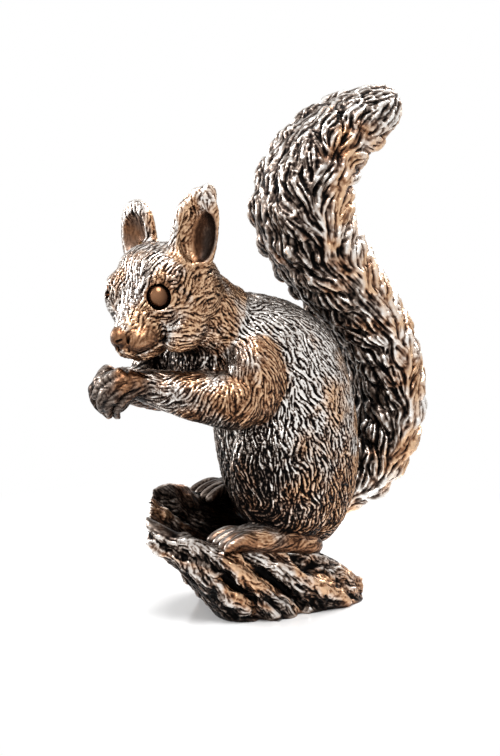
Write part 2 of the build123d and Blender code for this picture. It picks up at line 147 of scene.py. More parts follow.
def unit(vectors: Array) -> Array:
    """Scales vectors to length one."""
    return vectors / np.maximum(np.linalg.norm(vectors, axis=-1, keepdims=True), 1e-9)


def ease(low: float, high: float, values: Array) -> Array:
    """Smooth step from 0 at low to 1 at high."""
    share = np.clip((values - low) / (high - low), 0.0, 1.0)
    return share * share * (3.0 - 2.0 * share)


def soft_min(a: Array, b: Array, radius: float) -> Array:
    """Lower of two fields, with a fillet of the radius where they meet."""
    reach = np.maximum(radius - np.abs(a - b), 0.0)
    return np.minimum(a, b) - reach * reach / (4.0 * radius)


def corners(base: Array, part: Array) -> Iterator[tuple[Array, Array]]:
    """Yields the eight grid corners round each place, with the weight of each.

    Args:
        base: lowest corner of each place's cell.
        part: how far each place lies into its cell, from 0 to 1.
    """
    for corner in range(8):
        step = np.array([corner & 1, corner >> 1 & 1, corner >> 2 & 1])
        yield base + step, np.prod(np.where(step, part, 1.0 - part), axis=1)


def lattice_noise(points: Array, cell: Sequence[float] | float, seed: int) -> Array:
    """Smooth random values on a lattice.

    Args:
        points: places in millimetres.
        cell: lattice size in millimetres, one or three numbers.
        seed: picks the pattern.

    Returns:
        A value from 0 to 1 for each place.
    """
    scaled = points / np.asarray(cell, float)
    base = np.floor(scaled).astype(np.int64)
    part = scaled - base
    part = part * part * (3.0 - 2.0 * part)
    total = np.zeros(len(points))
    # Large primes scramble a corner's place into a random number.
    for corner, weight in corners(base, part):
        key = corner @ np.array([73856093, 19349663, 83492791]) + seed * 2654435761
        key = (key ^ (key >> 13)) * 1274126177 & 0xFFFFFFFF
        key = (key ^ (key >> 16)) * 668265263 & 0xFFFFFFFF
        total += weight * ((key ^ (key >> 15)) & 0xFFFF) / 0xFFFF
    return total


def arc(joints: Array, count: int = 8) -> Array:
    """Smooth bend through three rows of numbers.

    Args:
        joints: first, middle and last row.
        count: rows to return.

    Returns:
        Rows along the bend.
    """
    share = np.linspace(0.0, 1.0, count)[:, None]
    pull = 2.0 * joints[1] - 0.5 * (joints[0] + joints[2])
    return (1 - share) ** 2 * joints[0] + 2 * share * (1 - share) * pull + share**2 * joints[2]


@dataclass(frozen=True)
class Ball:
    """Ellipsoid brush: centre, half sizes and axes."""

    centre: Array
    radii: Sequence[float]
    axes: Array = field(default_factory=lambda: np.eye(3))

    def reach(self) -> tuple[Array, Array]:
        """Lowest and highest corners of the brush."""
        return self.centre - max(self.radii), self.centre + max(self.radii)

    def distance(self, points: Array) -> Array:
        """Signed distance of points from the surface."""
        local = (points - self.centre) @ self.axes.T
        radii = np.asarray(self.radii)
        near = np.linalg.norm(local / radii, axis=1)
        slope = np.linalg.norm(local / radii**2, axis=1)
        return near * (near - 1.0) / np.maximum(slope, 1e-6)


@dataclass(frozen=True)
class Strand:
    """Round brush stroke through points, with a radius at each."""

    points: Array
    radii: Sequence[float]

    def reach(self) -> tuple[Array, Array]:
        """Lowest and highest corners of the brush."""
        return self.points.min(0) - max(self.radii), self.points.max(0) + max(self.radii)

    def distance(self, points: Array) -> Array:
        """Signed distance of points from the surface."""
        best = np.full(len(points), np.inf)
        for i in range(len(self.points) - 1):
            run = self.points[i + 1] - self.points[i]
            share = np.clip((points - self.points[i]) @ run / (run @ run), 0.0, 1.0)
            away = np.linalg.norm(points - self.points[i] - share[:, None] * run, axis=1)
            best = np.minimum(best, away - (self.radii[i] + share * (self.radii[i + 1] - self.radii[i])))
        return best


Brush = Ball | Strand


@dataclass(frozen=True)
class Stroke:
    """Touch of the modelling tool in the head's axes: a ball at one place, or a line through several."""

    course: tuple[tuple[float, float, float], ...]
    radii: tuple[float, ...]
    fillet: float
    way: Press = Press.ADD


@dataclass
class Skin:
    """Quad mesh with a relief for each point, 0 in a groove to 1 on a crest, with painted light and shade
    added, and a warmth.
    """

    points: Array
    quads: Array
    relief_and_painted_light: Array
    warmth: Array

    def _across(self) -> Array:
        """Cross product of the diagonals of each face."""
        corner = self.points[self.quads]
        return np.cross(corner[:, 2] - corner[:, 0], corner[:, 3] - corner[:, 1])

    def _gather(self, values: Array) -> Array:
        """Sum over the faces round each point of one value per face."""
        weights = np.repeat(values, 4)
        return np.bincount(self.quads.reshape(-1), weights, len(self.points))

    def normals(self) -> Array:
        """Point normals, weighted by face area."""
        across = self._across()
        return unit(np.stack([self._gather(across[:, k]) for k in range(3)], axis=1))

    def areas(self) -> Array:
        """Area that belongs to each point."""
        return self._gather(np.linalg.norm(self._across(), axis=1) / 8.0)

    def smoothed(self, values: Array, rounds: int) -> Array:
        """Values averaged over and over with their neighbours along the edges.

        Args:
            values: one row for each point.
            rounds: how often to average.

        Returns:
            The smoothed values.
        """
        start = self.quads.reshape(-1)
        end = np.roll(self.quads, -1, axis=1).reshape(-1)
        count = np.maximum(np.bincount(start, minlength=len(self.points)), 1)
        rows = values.reshape(len(values), -1).astype(float)
        for _ in range(rounds):
            for k in range(rows.shape[1]):
                column = rows[:, k]
                around = np.bincount(start, column[end], len(self.points)) / count
                rows[:, k] = 0.5 * column + 0.5 * around
        return rows.reshape(values.shape)

    def cavity(self, rounds: int) -> Array:
        """How far each point lies below the smoothed surface, in millimetres."""
        return np.sum((self.smoothed(self.points, rounds) - self.points) * self.normals(), axis=1)


class Volume:
    """Signed distances on a grid round some castings, known to BAND from their surfaces."""

    BAND = 3.0

    def __init__(self, nodes: Iterable[str], voxel: float, margin: float = 3.5) -> None:
        """Measures the field of each casting.

        Args:
            nodes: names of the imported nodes.
            voxel: grid spacing.
            margin: room round the castings.
        """
        self.voxel = voxel
        self.nodes = list(nodes)
        boxes = [np.array(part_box(node)) / MM for node in self.nodes]
        low = np.min([box[0] for box in boxes], axis=0) - margin
        high = np.max([box[1] for box in boxes], axis=0) + margin
        self.low = np.floor(low / voxel).astype(int)
        self.shape = tuple(np.ceil(high / voxel).astype(int) - self.low + 1)
        self.transform = vdb.createLinearTransform(voxel)
        self.fields = {node: self._field(node) for node in self.nodes}
        self.distance = self.fields[self.nodes[0]].astype(np.float32)

    def _field(self, node: str) -> Array:
        """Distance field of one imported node."""
        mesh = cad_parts[node].data
        points = np.empty(len(mesh.vertices) * 3, np.float32)
        mesh.vertices.foreach_get("co", points)
        mesh.calc_loop_triangles()
        triangles = np.empty(len(mesh.loop_triangles) * 3, np.int32)
        mesh.loop_triangles.foreach_get("vertices", triangles)
        grid = vdb.FloatGrid.createLevelSetFromPolygons(
            points.reshape(-1, 3) / MM,
            triangles=triangles.reshape(-1, 3),
            transform=self.transform,
            halfWidth=math.ceil(self.BAND / self.voxel),
        )
        values = np.zeros(self.shape, np.float32)
        grid.copyToArray(values, ijk=tuple(int(i) for i in self.low))
        return values.astype(np.float16)

    def blend(self, node: str, radius: float) -> None:
        """Joins a casting to the form with a fillet of the radius."""
        self.distance = soft_min(self.distance, self.fields[node].astype(np.float32), radius)

    def window(self, low: Array, high: Array) -> tuple[tuple[slice, ...], Array]:
        """Grid window between two corners.

        Args:
            low: lowest corner.
            high: highest corner.

        Returns:
            The window's slices and the places of its voxels.
        """
        first = np.clip(np.floor(low / self.voxel).astype(int) - self.low, 0, np.array(self.shape) - 1)
        last = np.clip(np.ceil(high / self.voxel).astype(int) - self.low + 1, first + 1, self.shape)
        slices = tuple(slice(a, b) for a, b in zip(first, last))
        axes = [(np.arange(a, b) + o) * self.voxel for a, b, o in zip(first, last, self.low)]
        return slices, np.stack(np.meshgrid(*axes, indexing="ij"), -1).reshape(-1, 3)

    def press(self, brush: Brush, radius: float, way: Press = Press.ADD) -> None:
        """Adds a brush to the form, or carves it out, with a fillet of the radius."""
        low, high = brush.reach()
        slices, places = self.window(low - 2.0 * radius - 1.0, high + 2.0 * radius + 1.0)
        here = self.distance[slices]
        shape = brush.distance(places).reshape(here.shape)
        if way is Press.CARVE:
            self.distance[slices] = -soft_min(-here, shape, radius)
        else:
            self.distance[slices] = soft_min(here, shape, radius)

    def sample(self, values: Array, points: Array) -> Array:
        """Values of a grid at points, between its voxels."""
        scaled = points / self.voxel - self.low
        base = np.clip(np.floor(scaled).astype(int), 0, np.array(self.shape) - 2)
        part = np.clip(scaled - base, 0.0, 1.0)
        total = np.zeros(len(points))
        for corner, weight in corners(base, part):
            i, j, k = corner.T
            total += weight * values[i, j, k]
        return total

    def shade(self, skin: Skin, reaches: Sequence[float] = (2.6, 5.0, 8.0)) -> Array:
        """How far the form closes in over each point: 0 in the open, 1 where it touches itself."""
        total = np.zeros(len(skin.points))
        normals = skin.smoothed(skin.normals(), 6)
        for reach in reaches:
            ahead = self.sample(self.distance, skin.points + reach * normals)
            total += np.clip(1.0 - ahead / min(reach, self.BAND), 0.0, 1.0)
        return skin.smoothed(np.minimum(total, 1.0), 10)

    def owners(self, points: Array) -> Array:
        """Index of the casting that each point belongs to."""
        return np.argmin([self.sample(self.fields[node], points) for node in self.nodes], axis=0)

    def skin(self) -> Skin:
        """Quad mesh of the surface, facing outwards."""
        grid = vdb.FloatGrid(self.BAND)
        grid.copyFromArray(self.distance.astype(np.float32), ijk=tuple(int(i) for i in self.low))
        grid.transform = self.transform
        points, quads = grid.convertToQuads(isovalue=0.0)
        level = np.full(len(points), 0.5)
        skin = Skin(np.asarray(points, float), np.asarray(quads, int), level, level)
        if np.sum(skin.normals() * (skin.points - skin.points.mean(0))) < 0:
            skin.quads = skin.quads[:, ::-1].copy()
        return skin


@dataclass(frozen=True)
class Coat:
    """Tooling of one region: coarseness from 0 to 1, depth of the ridges and of their clumps, warmth,
    contrast between groove and crest, and how much its level is raised."""

    coarse: float
    depth: float
    clump: float
    warmth: float
    contrast: float
    level_raise: float

    # Place of the warmth in a row of values.
    WARMTH = 3

    def row(self) -> tuple[float, ...]:
        """The values in order."""
        return self.coarse, self.depth, self.clump, self.warmth, self.contrast, self.level_raise


@dataclass(frozen=True)
class Ridges:
    """Spacing and length of tooled ridges."""

    spacing: float
    length: float


def ranked(values: Array) -> Array:
    """Values spread evenly from 0 to 1 in their order."""
    return np.argsort(np.argsort(values)) / max(len(values) - 1, 1)


@dataclass
class Comb:
    """Combs wavy ridges into a skin, along the lie of the fur or the grain of the bark."""

    guides: Array
    fine: Ridges
    coarse: Ridges
    clumps: Ridges
    wander: float = 0.9
    wander_mm: float = 2.2
    steps: tuple[float, float] = (0.75, 0.33)
    broken: float = 0.5
    band: tuple[float, float] = (0.16, 0.75)
    amber_side_of_painted_sheen: tuple[float, float, float] = (0.75, -0.6, -0.25)
    level: float = 0.48
    # Painted light: how much lighter high places are made than low ones, about a middle height, up to a
    # top height.
    painted_top_light: float = 0.0
    painted_top_light_middle: float = 45.0
    painted_top_light_cap: float = 52.0
    seed: int = SEED

    def lie(self, points: Array, normals: Array) -> Array:
        """Direction of the ridges at points, in the surface, with a slow sideways wander."""
        total = np.zeros_like(points)
        for row in self.guides:
            away = np.sum((points - row[:3]) ** 2, axis=1) + 4.0
            total += unit(row[3:])[None] / (away**2)[:, None]
        total -= np.sum(total * normals, axis=1, keepdims=True) * normals
        ahead = unit(total)
        turn = 2.0 * lattice_noise(points, self.wander_mm, self.seed + 1) - 1.0
        return unit(ahead + self.wander * turn[:, None] * np.cross(normals, ahead))

    def threads(self, skin: Skin) -> list[list[Array]]:
        """Index of the points ahead of each point and behind it, for a long and a short step."""
        tree = KDTree(len(skin.points))
        for i, point in enumerate(skin.points):
            tree.insert(point, i)
        tree.balance()
        lie = self.lie(skin.points, skin.normals())
        return [
            [np.array([tree.find(p)[1] for p in skin.points + way * step * lie]) for way in (1, -1)]
            for step in self.steps
        ]

    def streaks(self, skin: Skin, threads: list[list[Array]], ridges: Ridges, seed: int) -> Array:
        """Draws random ridges out along the threads.

        Args:
            skin: the surface.
            threads: points ahead and behind, from threads().
            ridges: spacing and length of the ridges.
            seed: picks the pattern.

        Returns:
            A height for each point, spread evenly from 0 to 1.
        """
        edge = math.sqrt(skin.areas().mean())
        near, far = (max(1, round((2.0 * share * ridges.spacing / edge) ** 2)) for share in self.band)
        value = skin.smoothed(np.random.default_rng(seed).standard_normal(len(skin.points)), near)
        value = value - skin.smoothed(value, far)
        dabs = skin.smoothed(value, 2 * near)
        rounds = round(2.0 * (ridges.length / 3.0 / self.steps[0]) ** 2)
        for (ahead, behind), count in zip(threads, (rounds, 3)):
            for _ in range(count):
                value = 0.5 * value + 0.25 * (value[ahead] + value[behind])
        return ranked(value / value.std() + self.broken * dabs / dabs.std())

    def carve(self, skin: Skin, coats: Array, keep: Array) -> None:
        """Combs the clumps and ridges into the skin and notes their relief, with painted light from above
        added.

        Args:
            skin: the surface.
            coats: rows of Coat values, one for each point.
            keep: share of the depth that each point takes.
        """
        coarse, depth, clump, warmth, contrast, level_raise = coats.T
        threads = self.threads(skin)
        fine, broad, clumps = (
            self.streaks(skin, threads, ridges, self.seed + 2 + i)
            for i, ridges in enumerate((self.fine, self.coarse, self.clumps))
        )
        hair = fine + (broad - fine) * coarse
        height = depth * (hair**0.7 - 0.6) + clump * (clumps - 0.5)
        skin.points = skin.points + skin.normals() * (keep * height)[:, None]
        # Painted light from above: faces turned up are made lighter and faces turned down darker, on the
        # figure also high places lighter and low ones darker, and each casting's level is raised as set.
        level_and_painted_light = 0.1 * skin.smoothed(skin.normals()[:, 2], 20) + level_raise
        level_and_painted_light += self.painted_top_light * (np.minimum(skin.points[:, 2], self.painted_top_light_cap) - self.painted_top_light_middle) / 100.0
        ridge = (0.15 + 0.85 * keep) * (contrast * (hair**0.8 - 0.53) + 0.25 * (clumps - 0.5))
        skin.relief_and_painted_light = self.level + level_and_painted_light + ridge
        # Painted sheen: sides turned towards the brighter lamps are tinted silvery, the sides turned from
        # them amber.
        skin.warmth = warmth + 0.2 * skin.smoothed(skin.normals(), 10) @ self.amber_side_of_painted_sheen


@dataclass(frozen=True)
class BronzeFinish:
    """Cast bronze with a hot brown patina, polished back on the high points and waxed.

    The patina stays near black in the tooling, the crests show bare metal, amber or silvery by
    turns, and the wax gives small bright glints; the near white that ends the silvery colours is painted
    highlight for these glints.
    """

    name: str
    # The silvery run ends near white: painted highlight for the wax's glints on the crests, and the run
    # also takes the painted sheen on sides towards the lamps.
    silver_and_painted_sheen: tuple[str, ...] = ("#040303", "#3a2f29", "#85776d", "#f0ece7")
    amber: tuple[str, ...] = ("#050302", "#432b1d", "#90674a", "#deb995")
    stops: tuple[float, ...] = (0.13, 0.36, 0.6, 0.94)
    rough_groove: float = 0.48
    rough_crest: float = 0.27
    polish_span: tuple[float, float] = (0.2, 0.9)
    tint_span: tuple[float, float] = (0.93, 1.11)
    metallic: float = 0.95
    uneven: float = 0.44
    patch_mm: float = 7.0
    tint_mm: float = 8.75
    grain_mm: float = 0.35

    def build(self) -> bpy.types.Material:
        """Makes the material.

        Returns:
            The material, which follows the relief and warmth that the tooling left, and the painted light
            and shade added to them.
        """
        material, tree, shader = new_material(self.name)
        relief_and_painted_light, warmth = (
            add_node(tree, "ShaderNodeAttribute", {"attribute_name": name}).outputs["Fac"]
            for name in ("relief_and_painted_light", "warmth")
        )
        place = add_node(tree, "ShaderNodeTexCoord").outputs["Object"]
        patch, tint, grain = (
            add_node(
                tree, "ShaderNodeTexNoise", Vector=place, Scale=1.0 / (size * MM), Detail=detail
            ).outputs["Fac"]
            for size, detail in ((self.patch_mm, 3.0), (self.tint_mm, 4.0), (self.grain_mm, 2.0))
        )
        # Rubbing takes unevenly: patches of some millimetres show more of the bare metal.
        level_and_painted_light = add_node(
            tree, "ShaderNodeMath", {"operation": "MULTIPLY_ADD"}, i0=patch, i1=self.uneven, i2=relief_and_painted_light
        )
        level = add_node(
            tree, "ShaderNodeMath", {"operation": "SUBTRACT"}, i0=level_and_painted_light.outputs[0], i1=0.5 * self.uneven
        ).outputs[0]
        lean = add_node(tree, "ShaderNodeMath", {"operation": "ADD"}, i0=tint, i1=warmth)
        share = add_node(
            tree,
            "ShaderNodeMapRange",
            Value=lean.outputs[0],
            From_Min=self.tint_span[0],
            From_Max=self.tint_span[1],
        )
        runs = []
        for run in (self.silver_and_painted_sheen, self.amber):
            ramp = add_node(tree, "ShaderNodeValToRGB", Fac=level)
            elements = ramp.color_ramp.elements
            while len(elements) < len(run):
                elements.new(0.5)
            for element, stop, colour in zip(elements, self.stops, run):
                element.position = stop
                element.color = linear(colour)
            runs.append(ramp.outputs["Color"])
        colour = add_node(
            tree,
            "ShaderNodeMix",
            {"data_type": "RGBA"},
            i0=share.outputs["Result"],
            i6=runs[0],
            i7=runs[1],
        )
        tree.links.new(colour.outputs[2], shader.inputs["Base Color"])
        polish = add_node(
            tree,
            "ShaderNodeMapRange",
            Value=level,
            From_Min=self.polish_span[0],
            From_Max=self.polish_span[1],
            To_Min=self.rough_groove,
            To_Max=self.rough_crest,
        )
        tree.links.new(polish.outputs["Result"], shader.inputs["Roughness"])
        shader.inputs["Metallic"].default_value = self.metallic
        # Investment-cast skin: a fine grain under the wax.
        bump = add_node(tree, "ShaderNodeBump", Height=grain, Strength=0.15, Distance=0.1 * MM)
        tree.links.new(bump.outputs["Normal"], shader.inputs["Normal"])
        return material


@dataclass(frozen=True)
class TurnedMetal:
    """Turned brass or zinc-plated steel, with fine tool lines that break up its gloss."""

    name: str
    light: str
    dark: str
    roughness: float
    line_mm: float = 0.2

    def build(self) -> bpy.types.Material:
        """Makes the material."""
        material, tree, shader = new_material(self.name)
        place = add_node(tree, "ShaderNodeTexCoord").outputs["Object"]
        scale = 1.0 / (self.line_mm * MM)
        lines = add_node(tree, "ShaderNodeTexNoise", Vector=place, Scale=scale, Detail=2.0).outputs["Fac"]
        ramp = add_node(tree, "ShaderNodeValToRGB", Fac=lines)
        for element, colour in zip(ramp.color_ramp.elements, (self.dark, self.light)):
            element.color = linear(colour)
        tree.links.new(ramp.outputs["Color"], shader.inputs["Base Color"])
        shader.inputs["Metallic"].default_value = 1.0
        shader.inputs["Roughness"].default_value = self.roughness
        bump = add_node(tree, "ShaderNodeBump", Height=lines, Strength=0.1, Distance=0.05 * MM)
        tree.links.new(bump.outputs["Normal"], shader.inputs["Normal"])
        return material


@dataclass
class Piece:
    """Mesh that stands for a packed casting."""

    node: str
    points: Array
    faces: list
    relief_and_painted_light: Array
    warmth: Array
    normals: Array

    def place(self, material: bpy.types.Material, slot: Slot) -> None:
        """Makes the object, dresses it and lets it ride on the part.

        Args:
            material: the finish.
            slot: material slot of the record; not used.
        """
        name = f"bronze_{self.node}"
        mesh = bpy.data.meshes.new(name)
        mesh.from_pydata((self.points * MM).tolist(), [], self.faces)
        mesh.polygons.foreach_set("use_smooth", [True] * len(mesh.polygons))
        # The relief attribute also carries painted light and shade.
        for label, values in (("relief_and_painted_light", self.relief_and_painted_light), ("warmth", self.warmth)):
            layer = mesh.attributes.new(label, "FLOAT", "POINT")
            layer.data.foreach_set("value", np.ascontiguousarray(values, np.float32))
        mesh.update()
        mesh.normals_split_custom_set_from_vertices(self.normals.tolist())
        mesh.materials.append(material)
        piece = link_object(name, mesh)
        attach(piece, BODY)
        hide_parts(self.node)
        log.info("%s: %d points, %d faces", name, len(self.points), len(self.faces))


def whole_piece(node: str, skin: Skin) -> Piece:
    """Piece that takes a whole skin."""
    return Piece(node, skin.points, skin.quads.tolist(), skin.relief_and_painted_light, skin.warmth, skin.normals())


def boundary_loops(quads: Array) -> list[list[int]]:
    """Loops of edges that only one face uses, in the order that closes the mesh."""
    start = quads.reshape(-1)
    end = np.roll(quads, -1, axis=1).reshape(-1)
    size = int(quads.max()) + 1
    single = ~np.isin(start * size + end, end * size + start)
    following = {int(b): int(a) for a, b in zip(start[single], end[single])}
    loops = []
    while following:
        first, here = following.popitem()
        loop = [first]
        while here != first and here in following:
            loop.append(here)
            here = following.pop(here)
        if here == first and len(loop) > 2:
            loops.append(loop)
    return loops


def cut_apart(
    skin: Skin, owners: Array, nodes: Sequence[str], inner_relief: float = 0.3, inner_warmth: float = 0.5
) -> list[Piece]:
    """Splits a skin into one closed mesh per casting.

    Args:
        skin: the whole surface.
        owners: index of the casting of each point.
        nodes: names of the castings.
        inner_relief: relief of the faces that close a cut.
        inner_warmth: warmth of the faces that close a cut.

    Returns:
        A piece for each casting.
    """
    face_owner = np.sort(owners[skin.quads], axis=1)[:, 1]
    skin_normals = skin.normals()
    pieces = []
    for index, node in enumerate(nodes):
        used, packed = np.unique(skin.quads[face_owner == index], return_inverse=True)
        quads = packed.reshape(-1, 4)
        points, normals = skin.points[used], skin_normals[used]
        relief_and_painted_light, warmth = skin.relief_and_painted_light[used], skin.warmth[used]
        faces = quads.tolist()
        for loop in boundary_loops(quads):
            middle = len(points)
            points = np.vstack([points, points[loop].mean(0)])
            normals = np.vstack([normals, unit(points[middle] - points[:middle].mean(0))])
            relief_and_painted_light, warmth = np.append(relief_and_painted_light, inner_relief), np.append(warmth, inner_warmth)
            faces += [[a, b, middle] for a, b in zip(loop, loop[1:] + loop[:1])]
        pieces.append(Piece(node, points, faces, relief_and_painted_light, warmth, normals))
    return pieces


@dataclass
class HeadFrame:
    """Axes of the turned head, worked out from the two eyes."""

    nod: float = 20.0
    eye_forward: float = 8.3
    eye_rise: float = 4.4

    def __post_init__(self) -> None:
        """Finds the head's forward, left and up directions and the middle of its skull."""
        self.eyes = [np.array(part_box(node)).mean(0) / MM for node in ("left_eye", "right_eye")]
        self.left = unit(self.eyes[0] - self.eyes[1])
        nod = math.radians(self.nod)
        upright = np.array([0.0, 0.0, 1.0])
        self.forward = unit(np.cross(self.left, upright)) * math.cos(nod) - upright * math.sin(nod)
        self.up = np.cross(self.forward, self.left)
        middle = (self.eyes[0] + self.eyes[1]) / 2
        self.origin = middle - self.eye_forward * self.forward - self.eye_rise * self.up
        self.axes = np.array([self.forward, self.left, self.up])

    def at(self, forward: float, left: float, up: float) -> Array:
        """Place in the part's frame of a place in the head."""
        return self.origin + np.array([forward, left, up]) @ self.axes

    def local(self, points: Array) -> Array:
        """Places in the head's frame."""
        return (points - self.origin) @ self.axes.T

    def eye_axes(self, eye: Array) -> Array:
        """Axes of an eye: where it looks, across it, and up it."""
        gaze = unit(eye - self.at(3.0, 0.0, 2.5))
        across = unit(np.cross(self.up, gaze))
        return np.array([gaze, across, np.cross(gaze, across)])


@dataclass(frozen=True)
class Shades:
    """How much darker the figure is made: painted shade where the form closes in, in the near ear's
    hollow, on the chest, low on the flanks and on the belly, with the dark patina kept in the folds and
    creases; a darker tone on the crown, the hands and the bare skin.
    """

    folds: float = 0.28
    creases: float = 0.3
    ear_hollow: float = 0.48
    chest: float = 0.5
    crown: float = 0.1
    flank: float = 0.13
    belly: float = 0.3
    hands: float = 0.16
    bare_skin: float = 0.2


@dataclass
class Figure:
    """Torso, head, ears, forelegs and hind feet, modelled as one wax and cut at the joints."""

    finish: bpy.types.Material
    head: HeadFrame
    voxel: float = 0.22
    far_paw_shift: tuple[float, float, float] = (2.6, 0.0, -1.6)
    far_room_drop: tuple[float, float, float] = (0.0, 0.0, -2.4)
    arm_fillet: float = 1.5
    muzzle_taper: float = 0.42
    shades: Shades = Shades()
    flank_warmth: float = 0.19
    bare_warmth: float = 0.25
    hollows: list[Ball] = field(default_factory=list)

    NODES = tuple(casting.name.lower() for casting in Casting)
    ARMS = (Casting.LEFT_FORELEG, Casting.RIGHT_FORELEG)
    # Fillet where each casting after the torso joins it, and the tooling of every casting.
    BLENDS = (2.2, 0.7, 0.7, 1.8, 1.8, 0.5, 0.5)
    # The last value raises each casting's level; the far forearm and far hind foot get less than the near
    # ones, as painted shade.
    COATS = (
        Coat(1.0, 0.44, 0.2, 0.31, 1.95, 0.13),
        Coat(0.0, 0.28, 0.12, 0.48, 1.2, 0.16),
        Coat(0.0, 0.2, 0.0, 0.6, 0.9, 0.2),
        Coat(0.0, 0.2, 0.0, 0.58, 1.0, 0.1),
        Coat(0.5, 0.38, 0.15, 0.53, 1.4, 0.05),
        Coat(0.5, 0.38, 0.15, 0.44, 1.3, -0.02),
        Coat(0.0, 0.1, 0.1, 0.46, 0.5, 0.42),
        Coat(0.0, 0.1, 0.1, 0.44, 0.6, 0.2),
    )
    # Full forehead, and the far brow and temple.
    FOREHEAD = (
        Stroke(((3.0, 0.0, 6.0),), (6.5, 8.8, 6.2), 2.0),
        Stroke(((8.0, -5.5, 2.0),), (4.5, 3.5, 4.5), 2.5),
        Stroke(((9.2, -5.4, 4.9),), (2.8, 2.6, 3.2), 2.0),
    )
    CHIN_AND_NOSE = (
        Stroke(((11.0, 0, -6.0),), (4.6, 2.8, 1.7), 0.6),
        Stroke(((17.6, 0, -0.6),), (1.9, 2.3, 1.9), 0.5),
    )
    # Cheek, lip pad, mouth, the fold behind it, the crease beside the nose and the nostril.
    MUZZLE_SIDE = (
        Stroke(((4.6, 6.2, -3.4),), (5.0, 3.4, 4.4), 2.0),
        Stroke(((14.4, 3.1, -2.1),), (3.6, 3.0, 2.7), 0.5),
        Stroke(
            ((17.4, 0, -4.6), (15.4, 3.2, -4.8), (12.4, 4.9, -4.7), (10.2, 5.8, -4.0)),
            (0.4, 0.75, 0.8, 0.4),
            0.3,
            Press.CARVE,
        ),
        Stroke(
            ((11.6, 5.9, 0.6), (11.0, 6.2, -1.6), (11.2, 5.8, -4.0)), (0.35, 0.6, 0.6), 0.6, Press.CARVE
        ),
        Stroke(
            ((17.3, 2.6, 1.0), (17.6, 2.6, -1.2), (17.6, 1.9, -3.8)), (0.1, 0.2, 0.2), 0.6, Press.CARVE
        ),
        Stroke(((19.2, 0.9, -0.9), (18.6, 1.7, -0.6)), (0.3, 0.2), 0.3, Press.CARVE),
    )
    LIP_CLEFT = (Stroke(((19.2, 0, -2.0), (17.4, 0, -4.6)), (0.35, 0.4), 0.25, Press.CARVE),)
    # Brow: reach along the eye, rise over it and radius.
    BROW = ((-3.8, 1.8, 0.5), (-1.6, 3.9, 0.85), (1.2, 4.1, 0.85), (3.6, 2.4, 0.5))
    # Lids: half width and half height of their ring, and how bold they are on each eye.
    LID_RING = (2.75, 3.0)
    LID_BOLD = (1.0, 0.4)
    # Bare nose and lip pads: middle and half sizes in the head's axes.
    BARE_NOSE = ((18.4, 0, -0.8), (2.2, 2.8, 2.4))
    BARE_LIPS = ((14.6, 3.1, -2.2), (4.0, 3.3, 2.9))
    # Near and far ear: side, length, lean of the tip and direction that the hollow faces.
    EARS = ((1, 17.5, 1.0, (0.45, 0.9, 0.0)), (-1, 13.5, 0.0, (0.95, -0.3, 0.0)))
    # Middles of the cuts that taper the near ear, along it and across it.
    EAR_EDGE = ((10.5, -7.6), (12.5, -6.9), (14.6, -6.2), (16, -5.2), (17.3, -4.4), (19, -4), (21, -3.8))
    # Far forearm, near forearm and far upper arm: joints with a radius at each.
    ARM_LINES = (
        ((-13.5, 10.0, 46.7, 5.0), (-22.5, 7.4, 47.0, 4.3), (-30.0, 5.2, 48.4, 3.2)),
        ((-13.5, -10.0, 47.0, 5.0), (-22.5, -7.4, 48.0, 4.3), (-30.0, -5.2, 50.2, 3.2)),
        ((-13.0, 9.0, 56.0, 5.0), (-19.0, 8.0, 54.5, 4.5), (-25.0, 7.0, 52.0, 3.5)),
    )
    # Hand from wrist to knuckles with a radius at each joint, and the room cleared for its fingers.
    HAND = ((-31.0, 5.4, 51.0, 3.0), (-34.5, 5.6, 52.0, 2.5), (-37.0, 5.4, 52.0, 1.9))
    FINGER_ROOM = ((-39.2, 4.2, 50.0), (5.4, 4.6, 7.0))
    # Joints of the near forepaw's four fingers, knuckle to tip, each with its radius.
    FINGERS = (
        ((-37.9, 5.6, 54.2, 1.2), (-40.6, 3.8, 52.0, 1.0), (-41.3, 1.2, 49.0, 0.6)),
        ((-37.2, 6.3, 53.4, 1.2), (-41.0, 5.2, 50.0, 1.05), (-40.4, 2.7, 46.4, 0.6)),
        ((-36.3, 6.6, 52.0, 1.2), (-39.8, 5.6, 48.9, 1.05), (-38.8, 3.1, 45.1, 0.6)),
        ((-34.9, 6.5, 50.4, 1.1), (-37.8, 5.5, 47.8, 0.95), (-37.0, 3.1, 44.8, 0.5)),
    )
    # Fur from the shoulders down the flanks, arms and feet: place and direction, on both sides.
    PAIRED_GUIDES = (
        (-6, 12, 57, 0.55, 0.1, -0.8),
        (4, 14, 48, 0.5, 0, -0.85),
        (7, 14, 38, 0.25, 0, -0.97),
        (-2, 15, 38, 0.1, 0, -1),
        (-10, 12, 32, 0.3, 0, -0.95),
        (0, 16, 28, 0.2, 0, -0.98),
        (7, 15, 20, 0.35, 0, -0.9),
        (-14, 8, 62, 0.7, 0.2, -0.6),
        (-9, 14, 55, 0.2, 0, -1),
        (-10, 15, 49, 0.1, 0, -1),
        (-15, 12, 44, -0.4, -0.2, -0.8),
        (-22, 10, 48, -0.5, -0.2, -0.8),
        (-30, 6.5, 51, -0.97, -0.2, -0.2),
        (5, 11, 15, -1, 0, 0.1),
        (-10, 11, 18, -1, 0, 0.15),
    )
